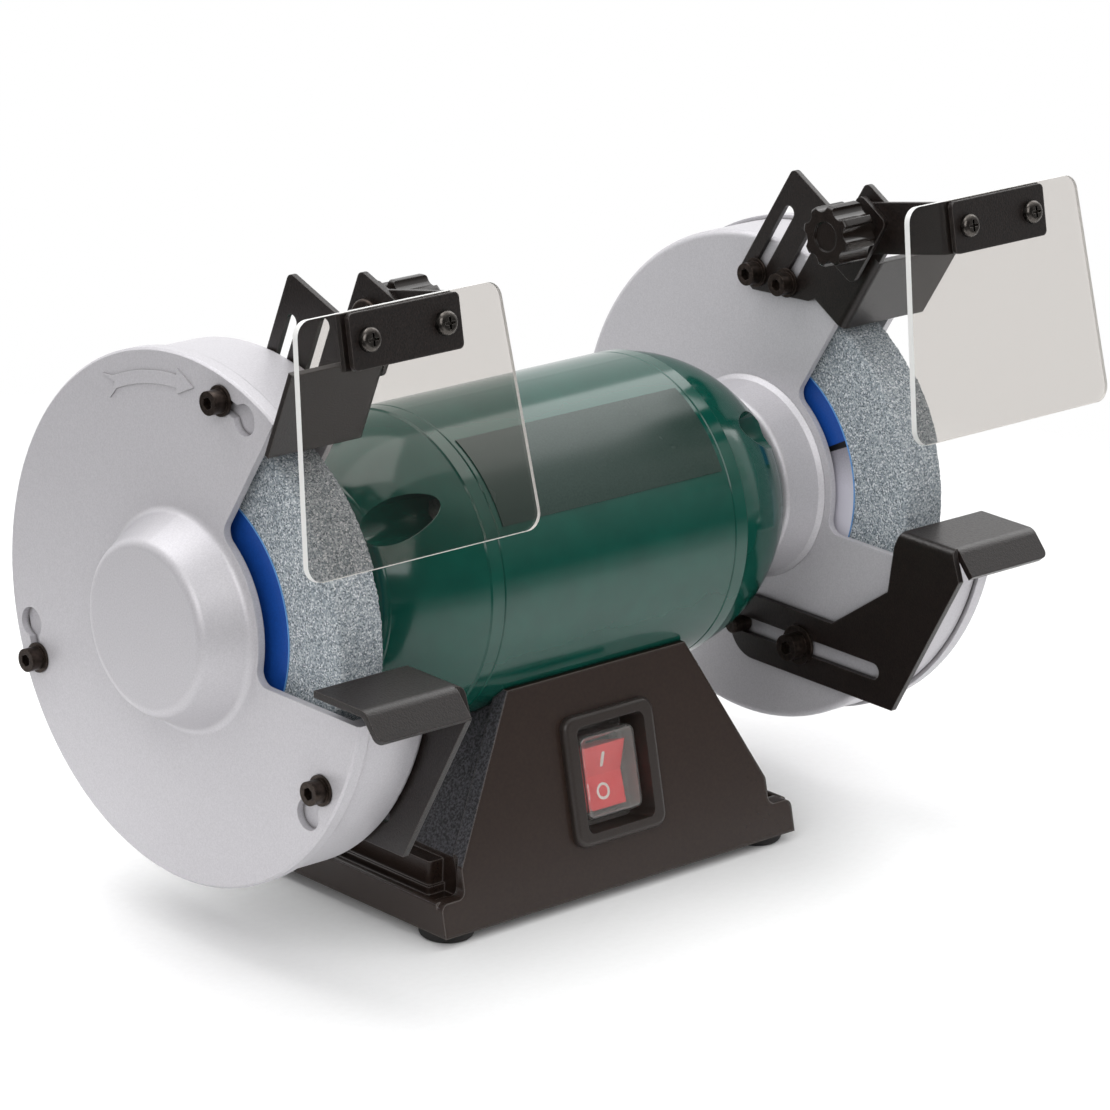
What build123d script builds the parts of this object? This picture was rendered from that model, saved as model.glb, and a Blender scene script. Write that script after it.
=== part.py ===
from build123d import *
import math
import os

# Bench grinder with two 150 mm wheels.  Millimetres.  The shaft runs along X, the user stands
# at -Y and Z is up.  The origin is on the bench, under the middle of the shaft.
# Angles about the shaft start at the front, horizontal, and grow upwards.

# Shaft and motor
SHAFT_HEIGHT = 119.0
SHELL_RADIUS = 58.0
SHELL_WALL = 3.0
SHELL_HALF = 56.5
SEAM_CHAMFER = 0.4
BELL_BAND = 6.5
BELL_TAPER = 35.5
BELL_END_RADIUS = 39.5
BELL_BULGE = 2.2
BELL_WALL = 4.0
BELL_REGISTER = 4.5
SPIGOT_RADIUS = 30.0
SPIGOT_LENGTH = 13.5
TIE_INSET = 11.0
TIE_ANGLES = (43.0, 137.0, 223.0, 317.0)
TIE_RADIUS = 2.5
POCKET_RADIUS = 8.0
POCKET_WALL = 2.0
POCKET_FLOOR = 10.0
STATOR_HALF = 25.0
STATOR_DEPTH = 27.4
AIR_GAP = 0.6
WINDING_OVERHANG = 19.0
WINDING_MARGIN = 1.5
WINDING_LIFT = 2.4
ROTOR_RING = 6.0
ROTOR_SEAT = 10.0
NAMEPLATE_ANGLES = (28.0, 64.0)
NAMEPLATE_MARGIN = 2.5
NAMEPLATE_THICKNESS = 0.4

# Ball bearings, 17 x 40 x 12
BEARING_BORE = 8.5
BEARING_OUTER = 20.0
BEARING_WIDTH = 12.0
BALL_RADIUS = 3.4
BALL_COUNT = 8
RUNNING_CLEARANCE = 0.05
BEARING_SETBACK = 2.5
WAVE_WASHER = 1.0
WASHER_PLAY = 0.3
WASHER_BAND = 3.5
SHAFT_HOLE = 10.0

# Wheels and their clamping pieces
WHEEL_RADIUS = 75.0
WHEEL_WIDTH = 20.0
WHEEL_SEAT = 8.0
WHEEL_GAP = 3.0
LABEL_RADIUS = 49.0
LABEL_THICKNESS = 0.4
FLANGE_RADIUS = 26.0
FLANGE_THICKNESS = 5.5
FLANGE_RELIEF = 1.0
FLANGE_LAND = 6.0
FLANGE_HUB = 12.0
HUB_GAP = 1.0
NUT_ACROSS_FLATS = 21.0
NUT_HEIGHT = 9.0
THREAD_RADIUS = 7.0
THREAD_PROUD = 2.0

# Guards and their covers
GUARD_RADIUS = 93.5
GUARD_INNER = 89.0
GUARD_WALL = 2.5
COLLAR_LENGTH = 16.0
COLLAR_GAP = 7.5
COLLAR_RADIUS = 34.5
COLLAR_FLARE = 37.2
COLLAR_SHOULDER = 2.6
COLLAR_FOOT = 1.8
COLLAR_WEB = 3.5
COLLAR_RECESS = 29.0
DRUM_SIDE_GAP = 1.9
COVER_GROOVE = 0.6
COVER_RADIUS = 95.0
COVER_SKIRT = 5.6
COVER_SKIRT_WALL = 4.0
COVER_PLATE = 3.0
COVER_LIP_GAP = 0.1
DOME_BASE = 38.8
DOME_TOP = 30.5
DOME_HEIGHT = 16.0
DOME_FOOT = 3.0
DOME_BROW = 4.0
OPENING_ANGLE = 60.0
OPENING_INNER = 42.0
OPENING_LOWER = 12.0
OPENING_CORNER = 5.0
COVER_SCREW_CIRCLE = 86.0
COVER_SCREW_ANGLES = (76.5, -27.5, -155.5)
KEYHOLE_TURN = 8.5
KEYHOLE_RADIUS = 5.6
KEYHOLE_PAD = 2.5
ARROW_CIRCLE = 85.0
ARROW_ANGLES = (119.0, 92.0)
ARROW_WIDTH = 4.6
ARROW_BARBS = 9.0
ARROW_POINT = 6.0
ARROW_HEIGHT = 0.6
GUARD_SCREW_CIRCLE = 24.5
GUARD_SCREW_ANGLES = (45.0, 135.0, 225.0, 315.0)

# Cap screws, as shank radius, head radius, head length, washer radius, washer thickness
M5_CAP = (2.5, 4.25, 5.0, 5.5, 1.0)
M6_CAP = (3.0, 5.0, 6.0, 7.6, 1.2)
SCREW_BOSS_WALL = 2.3
SLIDE_GAP = 0.1
SLOT_PLAY = 0.2

# Spark arresters.  The frame of each one stands at its front screw and leans forward.
SHEET = 2.0
ARRESTER_FRONT_SCREW = {"left": (-22.0, 78.8), "right": (-15.9, 79.2)}
ARRESTER_LEAN = {"left": 20.0, "right": 30.0}
ARRESTER_REAR_SCREW = (14.2, -7.7)
ARRESTER_TRAVEL = 30.0
ARRESTER_TOP = 37.9
ARRESTER_REAR = 21.9
ARRESTER_BEND = 30.8
ARRESTER_FOOT = 4.5
ARRESTER_EDGE = 7.0
DEFLECTOR_REACH = 42.0
TAB_REAR = -9.1
TAB_TOP = 58.7
SHEET_CORNER = 2.5
SHEET_BEND = 3.0

# Eye shields.  The arm turns about a clamp bolt through the arrester's tab.
PIVOT_FORWARD = 19.6
PIVOT_UP = 45.7
ARM_RISE = 12.0
ARM_LENGTH = 37.0
ARM_HEIGHT = 19.0
CLAMP_LENGTH = 50.0
CLAMP_SCREW_SPACING = 33.3
SHIELD_TOP = 88.0
SHIELD_BOTTOM = 103.0
SHIELD_ABOVE = 10.0
SHIELD_BELOW = 75.0
SHIELD_THICKNESS = 2.5
SHIELD_CORNER = 6.0
SHIELD_SCREW_RADIUS = 2.0
SHIELD_HEAD_RADIUS = 4.3
SHIELD_HEAD_HEIGHT = 2.8
SHIELD_NUT_FLATS = 7.0
SHIELD_NUT_HEIGHT = 3.2
PRESSURE_PLATE = (16.2, 20.5, 10.3)
CLAMP_BOLT_RADIUS = 3.0
CLAMP_HEAD_RADIUS = 7.0
CLAMP_HEAD_HEIGHT = 2.6
KNOB_RADIUS = 11.5
KNOB_LENGTH = 15.0
KNOB_HUB_RADIUS = 7.0
KNOB_HUB_LENGTH = 3.8
KNOB_FLUTES = 8
KNOB_FLUTE_RADIUS = 3.6
KNOB_DISH_RADIUS = 5.5
KNOB_DISH = 0.8
KNOB_CAP = 3.0

# Tool rests
REST_SHEET = 2.5
REST_TOP = -1.3
REST_WIDTH = 44.0
REST_REAR_Y = -80.0
REST_FRONT_Y = -106.0
REST_LIP = 12.0
REST_LIP_ANGLE = 48.0
REST_BEND = 3.0
REST_LIP_BEND = 5.0
REST_SLOT_Z = -58.0
REST_PIN_Y = -1.2
REST_BOLT_Y = -32.0
REST_SLOT_FRONT_Y = -70.2
REST_ARM_HALF = 12.6
REST_ARM_END_Y = 4.8
REST_ARM_KNEE_Y = -47.9
REST_NECK = (-75.5, -25.5)
REST_TOE_Y = -80.8
REST_SLIT = 0.8
REST_PIN_RADIUS = 3.0
REST_PIN_PROUD = 6.0

# Base
FOOT_HEIGHT = 4.0
FOOT_RADIUS = 10.0
FOOT_EDGE = 2.5
FOOT_INSET = (10.0, 11.0)
BASE_HALF_X = 86.8
BASE_HALF_Y = 65.8
SKIRT_TOP = 16.0
SKIRT_WALL = 4.0
BASE_WALL = 3.0
TRAY_FLOOR = (9.0, 12.0)
BODY_HALF_X = 75.5
BODY_SHOULDER = 26.0
BODY_TOP_HALF_X = 43.8
SADDLE_DROP = 37.0
PANEL_RUN = 19.1
PANEL_PROUD = 6.0
PANEL_CORNER = 3.0
PANEL_EDGE = 1.6
RAIL_EDGE = 1.2
STEP_TOP = 24.0
STEP_INSET = (10.8, 21.8)
STEP_EDGE = 1.2
LEDGE_TOP = 15.0
LEDGE = 1.2
PLATE_THICKNESS = 1.5
PLATE_PLAY = 0.2
MOUNT_HOLE = 3.3
PLATE_SCREW_INSET = (24.8, 8.8)
PLATE_SCREW_RADIUS = 2.0
PLATE_SCREW_HEAD = 3.6
PLATE_SCREW_HEAD_HEIGHT = 2.0
MOTOR_BOLT_X = 38.0
MOTOR_NUT_HEIGHT = 4.0
MOTOR_NUT_FLATS = 8.0
NUT_LIFT = 0.3
MOTOR_BOLT_HEAD = 3.0
SADDLE_GAP = 0.3

# Switch, on the sloping front panel
SWITCH_SHARE = 0.539
BEZEL = (44.0, 48.0)
BEZEL_OPENING = (33.0, 39.0)
BEZEL_HEIGHT = 3.0
BEZEL_CORNER = 5.0
WELL_DEPTH = 11.0
WELL_WALL = 1.5
SWITCH_BODY = (30.0, 36.0, 24.0)
SWITCH_CHEEK = 6.0
SWITCH_CUT = 0.2
HOOD = (27.0, 31.0, 12.0)
HOOD_WALL = 1.2
HOOD_CORNER = 3.0
ROCKER = (20.0, 24.0)
ROCKER_TILT = 8.0
ROCKER_PIVOT = -1.5
ROCKER_PIN = 1.5
ROCKER_DEPTH = 8.0
ROCKER_CROWN = 7.6
TERMINAL = (6.3, 0.8, 8.0)

# Electrical pieces inside the base
CAPACITOR_RADIUS = 15.0
CAPACITOR_LENGTH = 62.0
CAPACITOR_AT = (12.0, 26.0)
CLIP_WIDTH = 12.0
CLIP_SHEET = 1.0
CLIP_TAB = 9.0
TERMINAL_BLOCK = (30.0, 16.0, 14.0)
TERMINAL_BLOCK_AT = (-44.0, 26.0)
GLAND_X = -30.0
GLAND_Z = 30.0
GLAND_BODY = 6.0
GLAND_BORE = 4.0
GLAND_FLANGE = 9.5
GLAND_NOSE = 9.0
GLAND_FLANGE_LENGTH = 4.0
GLAND_NUT_LENGTH = 4.0

# Stations along the shaft, from the middle out to the right
BAND_END = SHELL_HALF + BELL_BAND
BELL_END = BAND_END + BELL_TAPER
SPIGOT_END = BELL_END + SPIGOT_LENGTH
BEARING_OUT = BELL_END - BEARING_SETBACK
BEARING_IN = BEARING_OUT - BEARING_WIDTH
BEARING_SEAT = BEARING_OUT + WAVE_WASHER
COLLAR_START = BELL_END + COLLAR_GAP
GUARD_FACE = COLLAR_START + COLLAR_LENGTH
GUARD_INSIDE = GUARD_FACE + GUARD_WALL
WHEEL_IN = GUARD_INSIDE + WHEEL_GAP
WHEEL_OUT = WHEEL_IN + WHEEL_WIDTH
DRUM_END = WHEEL_OUT + DRUM_SIDE_GAP
COVER_IN = DRUM_END + COVER_GROOVE
COVER_FACE = COVER_IN + COVER_SKIRT
COVER_INSIDE = COVER_FACE - COVER_PLATE
DOME_FACE = COVER_FACE + DOME_HEIGHT
SHOULDER = SPIGOT_END + HUB_GAP
FLANGE_IN_END = WHEEL_IN - LABEL_THICKNESS
FLANGE_OUT_START = WHEEL_OUT + LABEL_THICKNESS
NUT_START = FLANGE_OUT_START + FLANGE_THICKNESS
SHAFT_END = NUT_START + NUT_HEIGHT + THREAD_PROUD
SHEET_FACE = GUARD_FACE - SLIDE_GAP
ARRESTER_INNER = SHEET_FACE - SHEET
ARM_FACE = ARRESTER_INNER - RUNNING_CLEARANCE
PLATE_FACE = ARM_FACE - SHEET - RUNNING_CLEARANCE
KNOB_BASE = PLATE_FACE - SHEET
CLAMP_CENTRE = ARM_FACE - SHEET + CLAMP_LENGTH / 2
SHELL_INNER = SHELL_RADIUS - SHELL_WALL
TIE_CIRCLE = SHELL_RADIUS - TIE_INSET
WINDING_OUTER = TIE_CIRCLE - TIE_RADIUS - WINDING_MARGIN
STATOR_BORE = SHELL_RADIUS - STATOR_DEPTH
WINDING_INNER = STATOR_BORE + WINDING_LIFT
BODY_TOP_HALF_Y = BASE_HALF_Y - PANEL_RUN
FOOT_AT = (BASE_HALF_X - FOOT_INSET[0], BASE_HALF_Y - FOOT_INSET[1])
STEP_HALF_X = BASE_HALF_X - STEP_INSET[0]
STEP_HALF_Y = BASE_HALF_Y - STEP_INSET[1]
PLATE_SCREW_XY = (BASE_HALF_X - PLATE_SCREW_INSET[0], BASE_HALF_Y - PLATE_SCREW_INSET[1])
BODY_TOP = SHAFT_HEIGHT - SADDLE_DROP
SWITCH_Z = SWITCH_SHARE * BODY_TOP
SHAFT_AXIS = Axis((0, 0, SHAFT_HEIGHT), (1, 0, 0))
LONG = 2 * (DOME_FACE + WHEEL_WIDTH)


def on_shaft(x_start, x_end, outer, inner=0.0):
    """Round piece or ring about the shaft, between two stations."""
    middle = Pos((x_start + x_end) / 2, 0, SHAFT_HEIGHT) * Rot(0, 90, 0)
    body = Cylinder(outer, x_end - x_start)
    if inner > 0:
        body -= Cylinder(inner, x_end - x_start + 1)
    return middle * body


def along_x(radius, x_start, x_end, y, z):
    """Cylinder parallel to the shaft at a place in the YZ plane."""
    return Pos((x_start + x_end) / 2, y, z) * Rot(0, 90, 0) * Cylinder(radius, x_end - x_start)


def polar(radius, angle):
    """Y and Z of a point about the shaft."""
    turn = math.radians(angle)
    return -radius * math.cos(turn), SHAFT_HEIGHT + radius * math.sin(turn)


def turned(outline):
    """Solid of revolution about the shaft from edges drawn in the XZ plane."""
    return revolve(make_face(outline), SHAFT_AXIS)


def spot(x, radius):
    return x, 0, SHAFT_HEIGHT + radius


def hexagon_x(flats, x_start, x_end, y, z):
    """Hexagonal bar parallel to the shaft."""
    corner_radius = flats / math.sqrt(3)
    bar = extrude(RegularPolygon(corner_radius, 6), (x_end - x_start) / 2, both=True)
    return Pos((x_start + x_end) / 2, y, z) * Rot(0, 90, 0) * bar


def cap_screw(sizes, seat, tip, y, z, towards_motor=True):
    """Socket head screw with a washer under its head, parallel to the shaft."""
    shank, head, length, washer, thickness = sizes
    step = -1 if towards_motor else 1
    under_head = seat + step * thickness
    top = under_head + step * length
    body = along_x(head, min(under_head, top), max(under_head, top), y, z)
    body += along_x(shank, min(tip, under_head), max(tip, under_head), y, z)
    socket = top - step * length / 2
    body -= hexagon_x(head * 0.95, min(socket, top), max(socket, top), y, z)
    ring = along_x(washer, min(seat, under_head), max(seat, under_head), y, z)
    ring -= along_x(shank, min(seat, under_head) - 1, max(seat, under_head) + 1, y, z)
    return [body, ring]


def mirrored(shape):
    return mirror(shape, about=Plane.YZ)


def to_side(side, shape):
    """Place a piece drawn for the right end on its own side."""
    return shape if side == "right" else mirrored(shape)


def both_ends(pieces):
    """A list of right-hand pieces together with their mirror images."""
    return Compound(list(pieces) + [mirrored(piece) for piece in pieces])


# Motor

def motor_shell():
    shell = turned(
        Polyline(
            spot(-SHELL_HALF, SHELL_INNER),
            spot(SHELL_HALF, SHELL_INNER),
            spot(SHELL_HALF, SHELL_RADIUS - SEAM_CHAMFER),
            spot(SHELL_HALF - SEAM_CHAMFER, SHELL_RADIUS),
            spot(SEAM_CHAMFER - SHELL_HALF, SHELL_RADIUS),
            spot(-SHELL_HALF, SHELL_RADIUS - SEAM_CHAMFER),
            close=True,
        )
    )
    for x in (-MOTOR_BOLT_X, MOTOR_BOLT_X):
        shell -= Pos(x, 0, SHAFT_HEIGHT - SHELL_RADIUS) * Cylinder(TIE_RADIUS, 4 * SHELL_WALL)
    return shell


def motor_nameplate():
    low, high = NAMEPLATE_ANGLES
    half = SHELL_HALF - NAMEPLATE_MARGIN
    inner = SHELL_RADIUS + RUNNING_CLEARANCE
    band = on_shaft(-half, half, inner + NAMEPLATE_THICKNESS, inner)
    reach = 2 * SHELL_RADIUS
    corners = [(0, SHAFT_HEIGHT), polar(reach, low), polar(reach, high)]
    wedge = extrude(Plane.YZ * make_face(Polyline(*corners, close=True)), LONG / 2, both=True)
    return band & wedge


def bell_outline_outer():
    bulge_x = (BAND_END + BELL_END) / 2
    rim = BELL_END_RADIUS + 3.0
    nose = BELL_END - 2.5
    bulge_r = (SHELL_RADIUS + rim) / 2 + BELL_BULGE
    flank = ThreePointArc(spot(BAND_END, SHELL_RADIUS - 0.6), spot(bulge_x, bulge_r), spot(nose, rim))
    lip = ThreePointArc(
        spot(nose, rim),
        spot(nose + 2.0, rim - 2.0),
        spot(BELL_END, BELL_END_RADIUS - 1.5),
    )
    start = Polyline(
        spot(SHELL_HALF, 0),
        spot(SHELL_HALF, SHELL_RADIUS - SEAM_CHAMFER),
        spot(SHELL_HALF + SEAM_CHAMFER, SHELL_RADIUS),
        spot(BAND_END - 0.6, SHELL_RADIUS),
        spot(BAND_END, SHELL_RADIUS - 0.6),
    )
    end = Polyline(spot(BELL_END, BELL_END_RADIUS - 1.5), spot(BELL_END, 0), spot(SHELL_HALF, 0))
    return start + flank + lip + end


def end_bell():
    outside = turned(bell_outline_outer())
    housing = BEARING_OUTER + BELL_WALL
    inside_end = BELL_END - BELL_WALL - 2.5
    cavity = turned(
        Polyline(
            spot(SHELL_HALF - 1, 0),
            spot(SHELL_HALF - 1, SHELL_RADIUS - BELL_WALL),
            spot(BAND_END, SHELL_RADIUS - BELL_WALL),
            spot(inside_end, BELL_END_RADIUS - BELL_WALL),
            spot(inside_end, 0),
            close=True,
        )
    )
    bell = outside - cavity
    bell += on_shaft(BEARING_IN - 2, inside_end + 1, housing)
    for angle in TIE_ANGLES:
        y, z = polar(TIE_CIRCLE, angle)
        boss = along_x(POCKET_RADIUS + POCKET_WALL, SHELL_HALF + 2, BELL_END - 1, y, z)
        bell += boss & outside
    register = SHELL_INNER - RUNNING_CLEARANCE
    bell += on_shaft(SHELL_HALF - BELL_REGISTER, SHELL_HALF + 3, register, register - 3)
    bell += on_shaft(BELL_END - 1, SPIGOT_END, SPIGOT_RADIUS)
    bell -= on_shaft(BEARING_IN - 3, BEARING_SEAT, BEARING_OUTER)
    bell -= on_shaft(BEARING_IN - 3, SPIGOT_END + 1, SHAFT_HOLE)
    for angle in TIE_ANGLES:
        y, z = polar(TIE_CIRCLE, angle)
        bell -= along_x(POCKET_RADIUS, SHELL_HALF + POCKET_FLOOR, BELL_END + 1, y, z)
        bell -= along_x(TIE_RADIUS, SHELL_HALF - BELL_REGISTER - 1, BELL_END, y, z)
    for angle in GUARD_SCREW_ANGLES:
        y, z = polar(GUARD_SCREW_CIRCLE, angle)
        bell -= along_x(M5_CAP[0], SPIGOT_END - SPIGOT_LENGTH + 3, SPIGOT_END + 1, y, z)
    return bell


def stator_core():
    core = on_shaft(-STATOR_HALF, STATOR_HALF, SHELL_INNER, STATOR_BORE)
    for angle in TIE_ANGLES:
        y, z = polar(TIE_CIRCLE, angle)
        core -= along_x(TIE_RADIUS + 0.3, -STATOR_HALF - 1, STATOR_HALF + 1, y, z)
    return core


def stator_windings():
    bundle = on_shaft(STATOR_HALF, STATOR_HALF + WINDING_OVERHANG, WINDING_OUTER, WINDING_INNER)
    outer_edges = bundle.edges().filter_by(GeomType.CIRCLE).sort_by(Axis.X)[-2:]
    return both_ends([fillet(outer_edges, (WINDING_OUTER - WINDING_INNER) * 0.4)])


def rotor_core():
    radius = STATOR_BORE - AIR_GAP
    core = on_shaft(-STATOR_HALF, STATOR_HALF, radius, ROTOR_SEAT)
    ring_end = STATOR_HALF + ROTOR_RING
    core += on_shaft(-ring_end, ring_end, radius - 2, ROTOR_SEAT + 8) - on_shaft(
        -STATOR_HALF, STATOR_HALF, radius
    )
    return core


def shaft():
    half = Polyline(
        spot(0, 0),
        spot(0, ROTOR_SEAT),
        spot(BEARING_IN, ROTOR_SEAT),
        spot(BEARING_IN, BEARING_BORE),
        spot(SHOULDER, BEARING_BORE),
        spot(SHOULDER, WHEEL_SEAT),
        spot(NUT_START - 2, WHEEL_SEAT),
        spot(NUT_START - 2, THREAD_RADIUS),
        spot(SHAFT_END - 1, THREAD_RADIUS),
        spot(SHAFT_END, THREAD_RADIUS - 1),
        spot(SHAFT_END, 0),
        close=True,
    )
    right = turned(half)
    return right + mirrored(right)


def bearing_pitch():
    return (BEARING_BORE + BEARING_OUTER) / 2


def bearing_groove():
    middle = Pos((BEARING_IN + BEARING_OUT) / 2, 0, SHAFT_HEIGHT) * Rot(0, 90, 0)
    return middle * Torus(bearing_pitch(), BALL_RADIUS + RUNNING_CLEARANCE)


def bearing_outer_ring():
    land = bearing_pitch() + BALL_RADIUS * 0.65
    return on_shaft(BEARING_IN, BEARING_OUT, BEARING_OUTER, land) - bearing_groove()


def bearing_inner_ring():
    land = bearing_pitch() - BALL_RADIUS * 0.65
    return on_shaft(BEARING_IN, BEARING_OUT, land, BEARING_BORE) - bearing_groove()


def bearing_balls():
    middle = (BEARING_IN + BEARING_OUT) / 2
    cage = on_shaft(middle - 4, middle + 4, bearing_pitch() + 1, bearing_pitch() - 1)
    balls = []
    for index in range(BALL_COUNT):
        y, z = polar(bearing_pitch(), index * 360 / BALL_COUNT)
        cage -= Pos(middle, y, z) * Sphere(BALL_RADIUS + RUNNING_CLEARANCE)
        balls.append(Pos(middle, y, z) * Sphere(BALL_RADIUS))
    return [cage] + balls


def wave_washer():
    rim = BEARING_OUTER - WASHER_PLAY
    return on_shaft(BEARING_OUT, BEARING_SEAT, rim, BEARING_OUTER - WASHER_BAND)


def tie_bolts():
    """Four long bolts, with a head in each left pocket and a nut in each right one."""
    seat = SHELL_HALF + POCKET_FLOOR
    pieces = []
    for angle in TIE_ANGLES:
        y, z = polar(TIE_CIRCLE, angle)
        bolt = along_x(TIE_RADIUS, -seat, seat + 6, y, z)
        bolt += hexagon_x(8.0, -seat - 3.5, -seat, y, z)
        nut = hexagon_x(8.0, seat, seat + 4, y, z) - along_x(TIE_RADIUS, seat - 1, seat + 7, y, z)
        pieces += [bolt, nut]
    return Compound(pieces)


# Wheels

def wheel():
    body = on_shaft(WHEEL_IN, WHEEL_OUT, WHEEL_RADIUS, WHEEL_SEAT + RUNNING_CLEARANCE)
    rims = body.edges().filter_by(GeomType.CIRCLE).sort_by(SortBy.RADIUS)[-2:]
    return chamfer(rims, 0.6)


def wheel_labels():
    bore = WHEEL_SEAT + RUNNING_CLEARANCE
    return [
        on_shaft(FLANGE_IN_END, WHEEL_IN, LABEL_RADIUS, bore),
        on_shaft(WHEEL_OUT, FLANGE_OUT_START, LABEL_RADIUS, bore),
    ]


def inner_flange():
    bore = WHEEL_SEAT + RUNNING_CLEARANCE
    disc_start = FLANGE_IN_END - FLANGE_THICKNESS
    flange = on_shaft(disc_start, FLANGE_IN_END, FLANGE_RADIUS, bore)
    flange += on_shaft(SHOULDER, disc_start + 1, FLANGE_HUB, bore)
    relief = FLANGE_RADIUS - FLANGE_LAND
    return flange - on_shaft(FLANGE_IN_END - FLANGE_RELIEF, FLANGE_IN_END + 1, relief)


def outer_flange():
    bore = WHEEL_SEAT + RUNNING_CLEARANCE
    flange = on_shaft(FLANGE_OUT_START, NUT_START, FLANGE_RADIUS, bore)
    relief = FLANGE_RADIUS - FLANGE_LAND
    flange -= on_shaft(FLANGE_OUT_START - 1, FLANGE_OUT_START + FLANGE_RELIEF, relief)
    rim = flange.edges().filter_by(GeomType.CIRCLE).sort_by(Axis.X)[-2:].sort_by(SortBy.RADIUS)[-1:]
    return chamfer(rim, 1.5)


def wheel_nut():
    nut = hexagon_x(NUT_ACROSS_FLATS, NUT_START, NUT_START + NUT_HEIGHT, 0, SHAFT_HEIGHT)
    return nut - on_shaft(NUT_START - 1, NUT_START + NUT_HEIGHT + 1, THREAD_RADIUS)


# Guards

def opening_cutter(x_start, x_end):
    """The front window through which the wheel shows."""
    reach = 150.0
    corners = [
        (0, -OPENING_LOWER),
        (-reach, -OPENING_LOWER),
        (-reach, reach * math.tan(math.radians(OPENING_ANGLE))),
        (0, 0),
    ]
    window = make_face(Polyline(*corners, close=True)) - Circle(OPENING_INNER)
    inner_corners = [
        vertex for vertex in window.vertices()
        if math.hypot(vertex.X, vertex.Y) < OPENING_INNER + 1
    ]
    window = fillet(inner_corners, OPENING_CORNER)
    upright = Plane(origin=(x_start, 0, SHAFT_HEIGHT), x_dir=(0, 1, 0), z_dir=(1, 0, 0))
    return extrude(upright * window, x_end - x_start)


def arrester_frame(side):
    """Place of an arrester: X along the shaft, Y to the rear, Z up along its slots."""
    y, z = ARRESTER_FRONT_SCREW[side]
    return Location((0, y, SHAFT_HEIGHT + z), (ARRESTER_LEAN[side], 0, 0))


def arrester_screw_places(side):
    frame = arrester_frame(side)
    rear_y, rear_z = ARRESTER_REAR_SCREW
    places = [frame, frame * Pos(0, rear_y, rear_z)]
    return [(place.position.Y, place.position.Z) for place in places]


def rest_places():
    z = SHAFT_HEIGHT + REST_SLOT_Z
    return (REST_BOLT_Y, z), (REST_PIN_Y, z)


def guard_collar():
    """Neck that carries a guard on the spigot of its end bell."""
    neck = make_face(
        Polyline(
            spot(GUARD_FACE, 0),
            spot(COLLAR_START, 0),
            spot(COLLAR_START, COLLAR_RADIUS),
            spot(GUARD_FACE - COLLAR_FOOT, COLLAR_FLARE),
            spot(GUARD_FACE, COLLAR_FLARE + COLLAR_FOOT),
            close=True,
        )
    )
    shoulder = neck.vertices().group_by(Axis.X)[0].sort_by(Axis.Z)[-1]
    collar = revolve(fillet(shoulder, COLLAR_SHOULDER), SHAFT_AXIS)
    web_end = SPIGOT_END + COLLAR_WEB
    collar -= on_shaft(web_end, GUARD_FACE + 1, COLLAR_RECESS)
    collar -= on_shaft(COLLAR_START - 1, SPIGOT_END, SPIGOT_RADIUS + RUNNING_CLEARANCE)
    collar -= on_shaft(SPIGOT_END - 1, web_end + 1, FLANGE_HUB + 4)
    for angle in GUARD_SCREW_ANGLES:
        y, z = polar(GUARD_SCREW_CIRCLE, angle)
        collar -= along_x(M5_CAP[0], SPIGOT_END - 1, web_end + 1, y, z)
    return collar


def guard(side):
    edge = 2.5
    rim = ThreePointArc(
        spot(GUARD_FACE, GUARD_RADIUS - edge),
        spot(GUARD_FACE + edge * 0.3, GUARD_RADIUS - edge * 0.3),
        spot(GUARD_FACE + edge, GUARD_RADIUS),
    )
    lip = COVER_RADIUS - COVER_SKIRT_WALL - COVER_LIP_GAP
    drum = Polyline(
        spot(GUARD_FACE + edge, GUARD_RADIUS),
        spot(DRUM_END, GUARD_RADIUS),
        spot(DRUM_END, lip),
        spot(COVER_INSIDE, lip),
        spot(COVER_INSIDE, 0),
        spot(GUARD_FACE, 0),
        spot(GUARD_FACE, GUARD_RADIUS - edge),
    )
    body = turned(rim + drum)
    body -= on_shaft(GUARD_INSIDE, COVER_INSIDE + 1, GUARD_INNER)
    body -= on_shaft(GUARD_FACE - 1, GUARD_INSIDE + 1, COLLAR_RECESS)
    for angle in COVER_SCREW_ANGLES:
        y, z = polar(COVER_SCREW_CIRCLE, angle)
        boss = along_x(M5_CAP[0] + SCREW_BOSS_WALL, GUARD_INSIDE - 1, COVER_INSIDE, y, z)
        body += (boss + keyhole_pad(angle)) & on_shaft(GUARD_FACE, COVER_INSIDE, lip)
    boss_end = WHEEL_IN - 1.2
    for y, z in arrester_screw_places(side):
        body += along_x(M5_CAP[0] + 1.8, GUARD_INSIDE - 1, boss_end, y, z)
    for y, z in rest_places():
        body += along_x(M6_CAP[0] + SCREW_BOSS_WALL, GUARD_INSIDE - 1, boss_end, y, z)
    body -= opening_cutter(GUARD_FACE - 3, COVER_FACE)
    for angle in COVER_SCREW_ANGLES:
        y, z = polar(COVER_SCREW_CIRCLE, angle)
        body -= along_x(M5_CAP[0], GUARD_INSIDE + 4, COVER_INSIDE + 1, y, z)
    for y, z in arrester_screw_places(side):
        body -= along_x(M5_CAP[0], GUARD_FACE - 1, boss_end + 1, y, z)
    for y, z in rest_places():
        body -= along_x(M6_CAP[0], GUARD_FACE - 1, boss_end + 1, y, z)
    return body


def cover_plane(x):
    """Plane square to the shaft in which angles grow upwards from the front."""
    return Plane(origin=(x, 0, SHAFT_HEIGHT), x_dir=(0, -1, 0), z_dir=(-1, 0, 0))


def keyhole_path(angle):
    return CenterArc((0, 0), COVER_SCREW_CIRCLE, angle - KEYHOLE_TURN, KEYHOLE_TURN)


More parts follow.
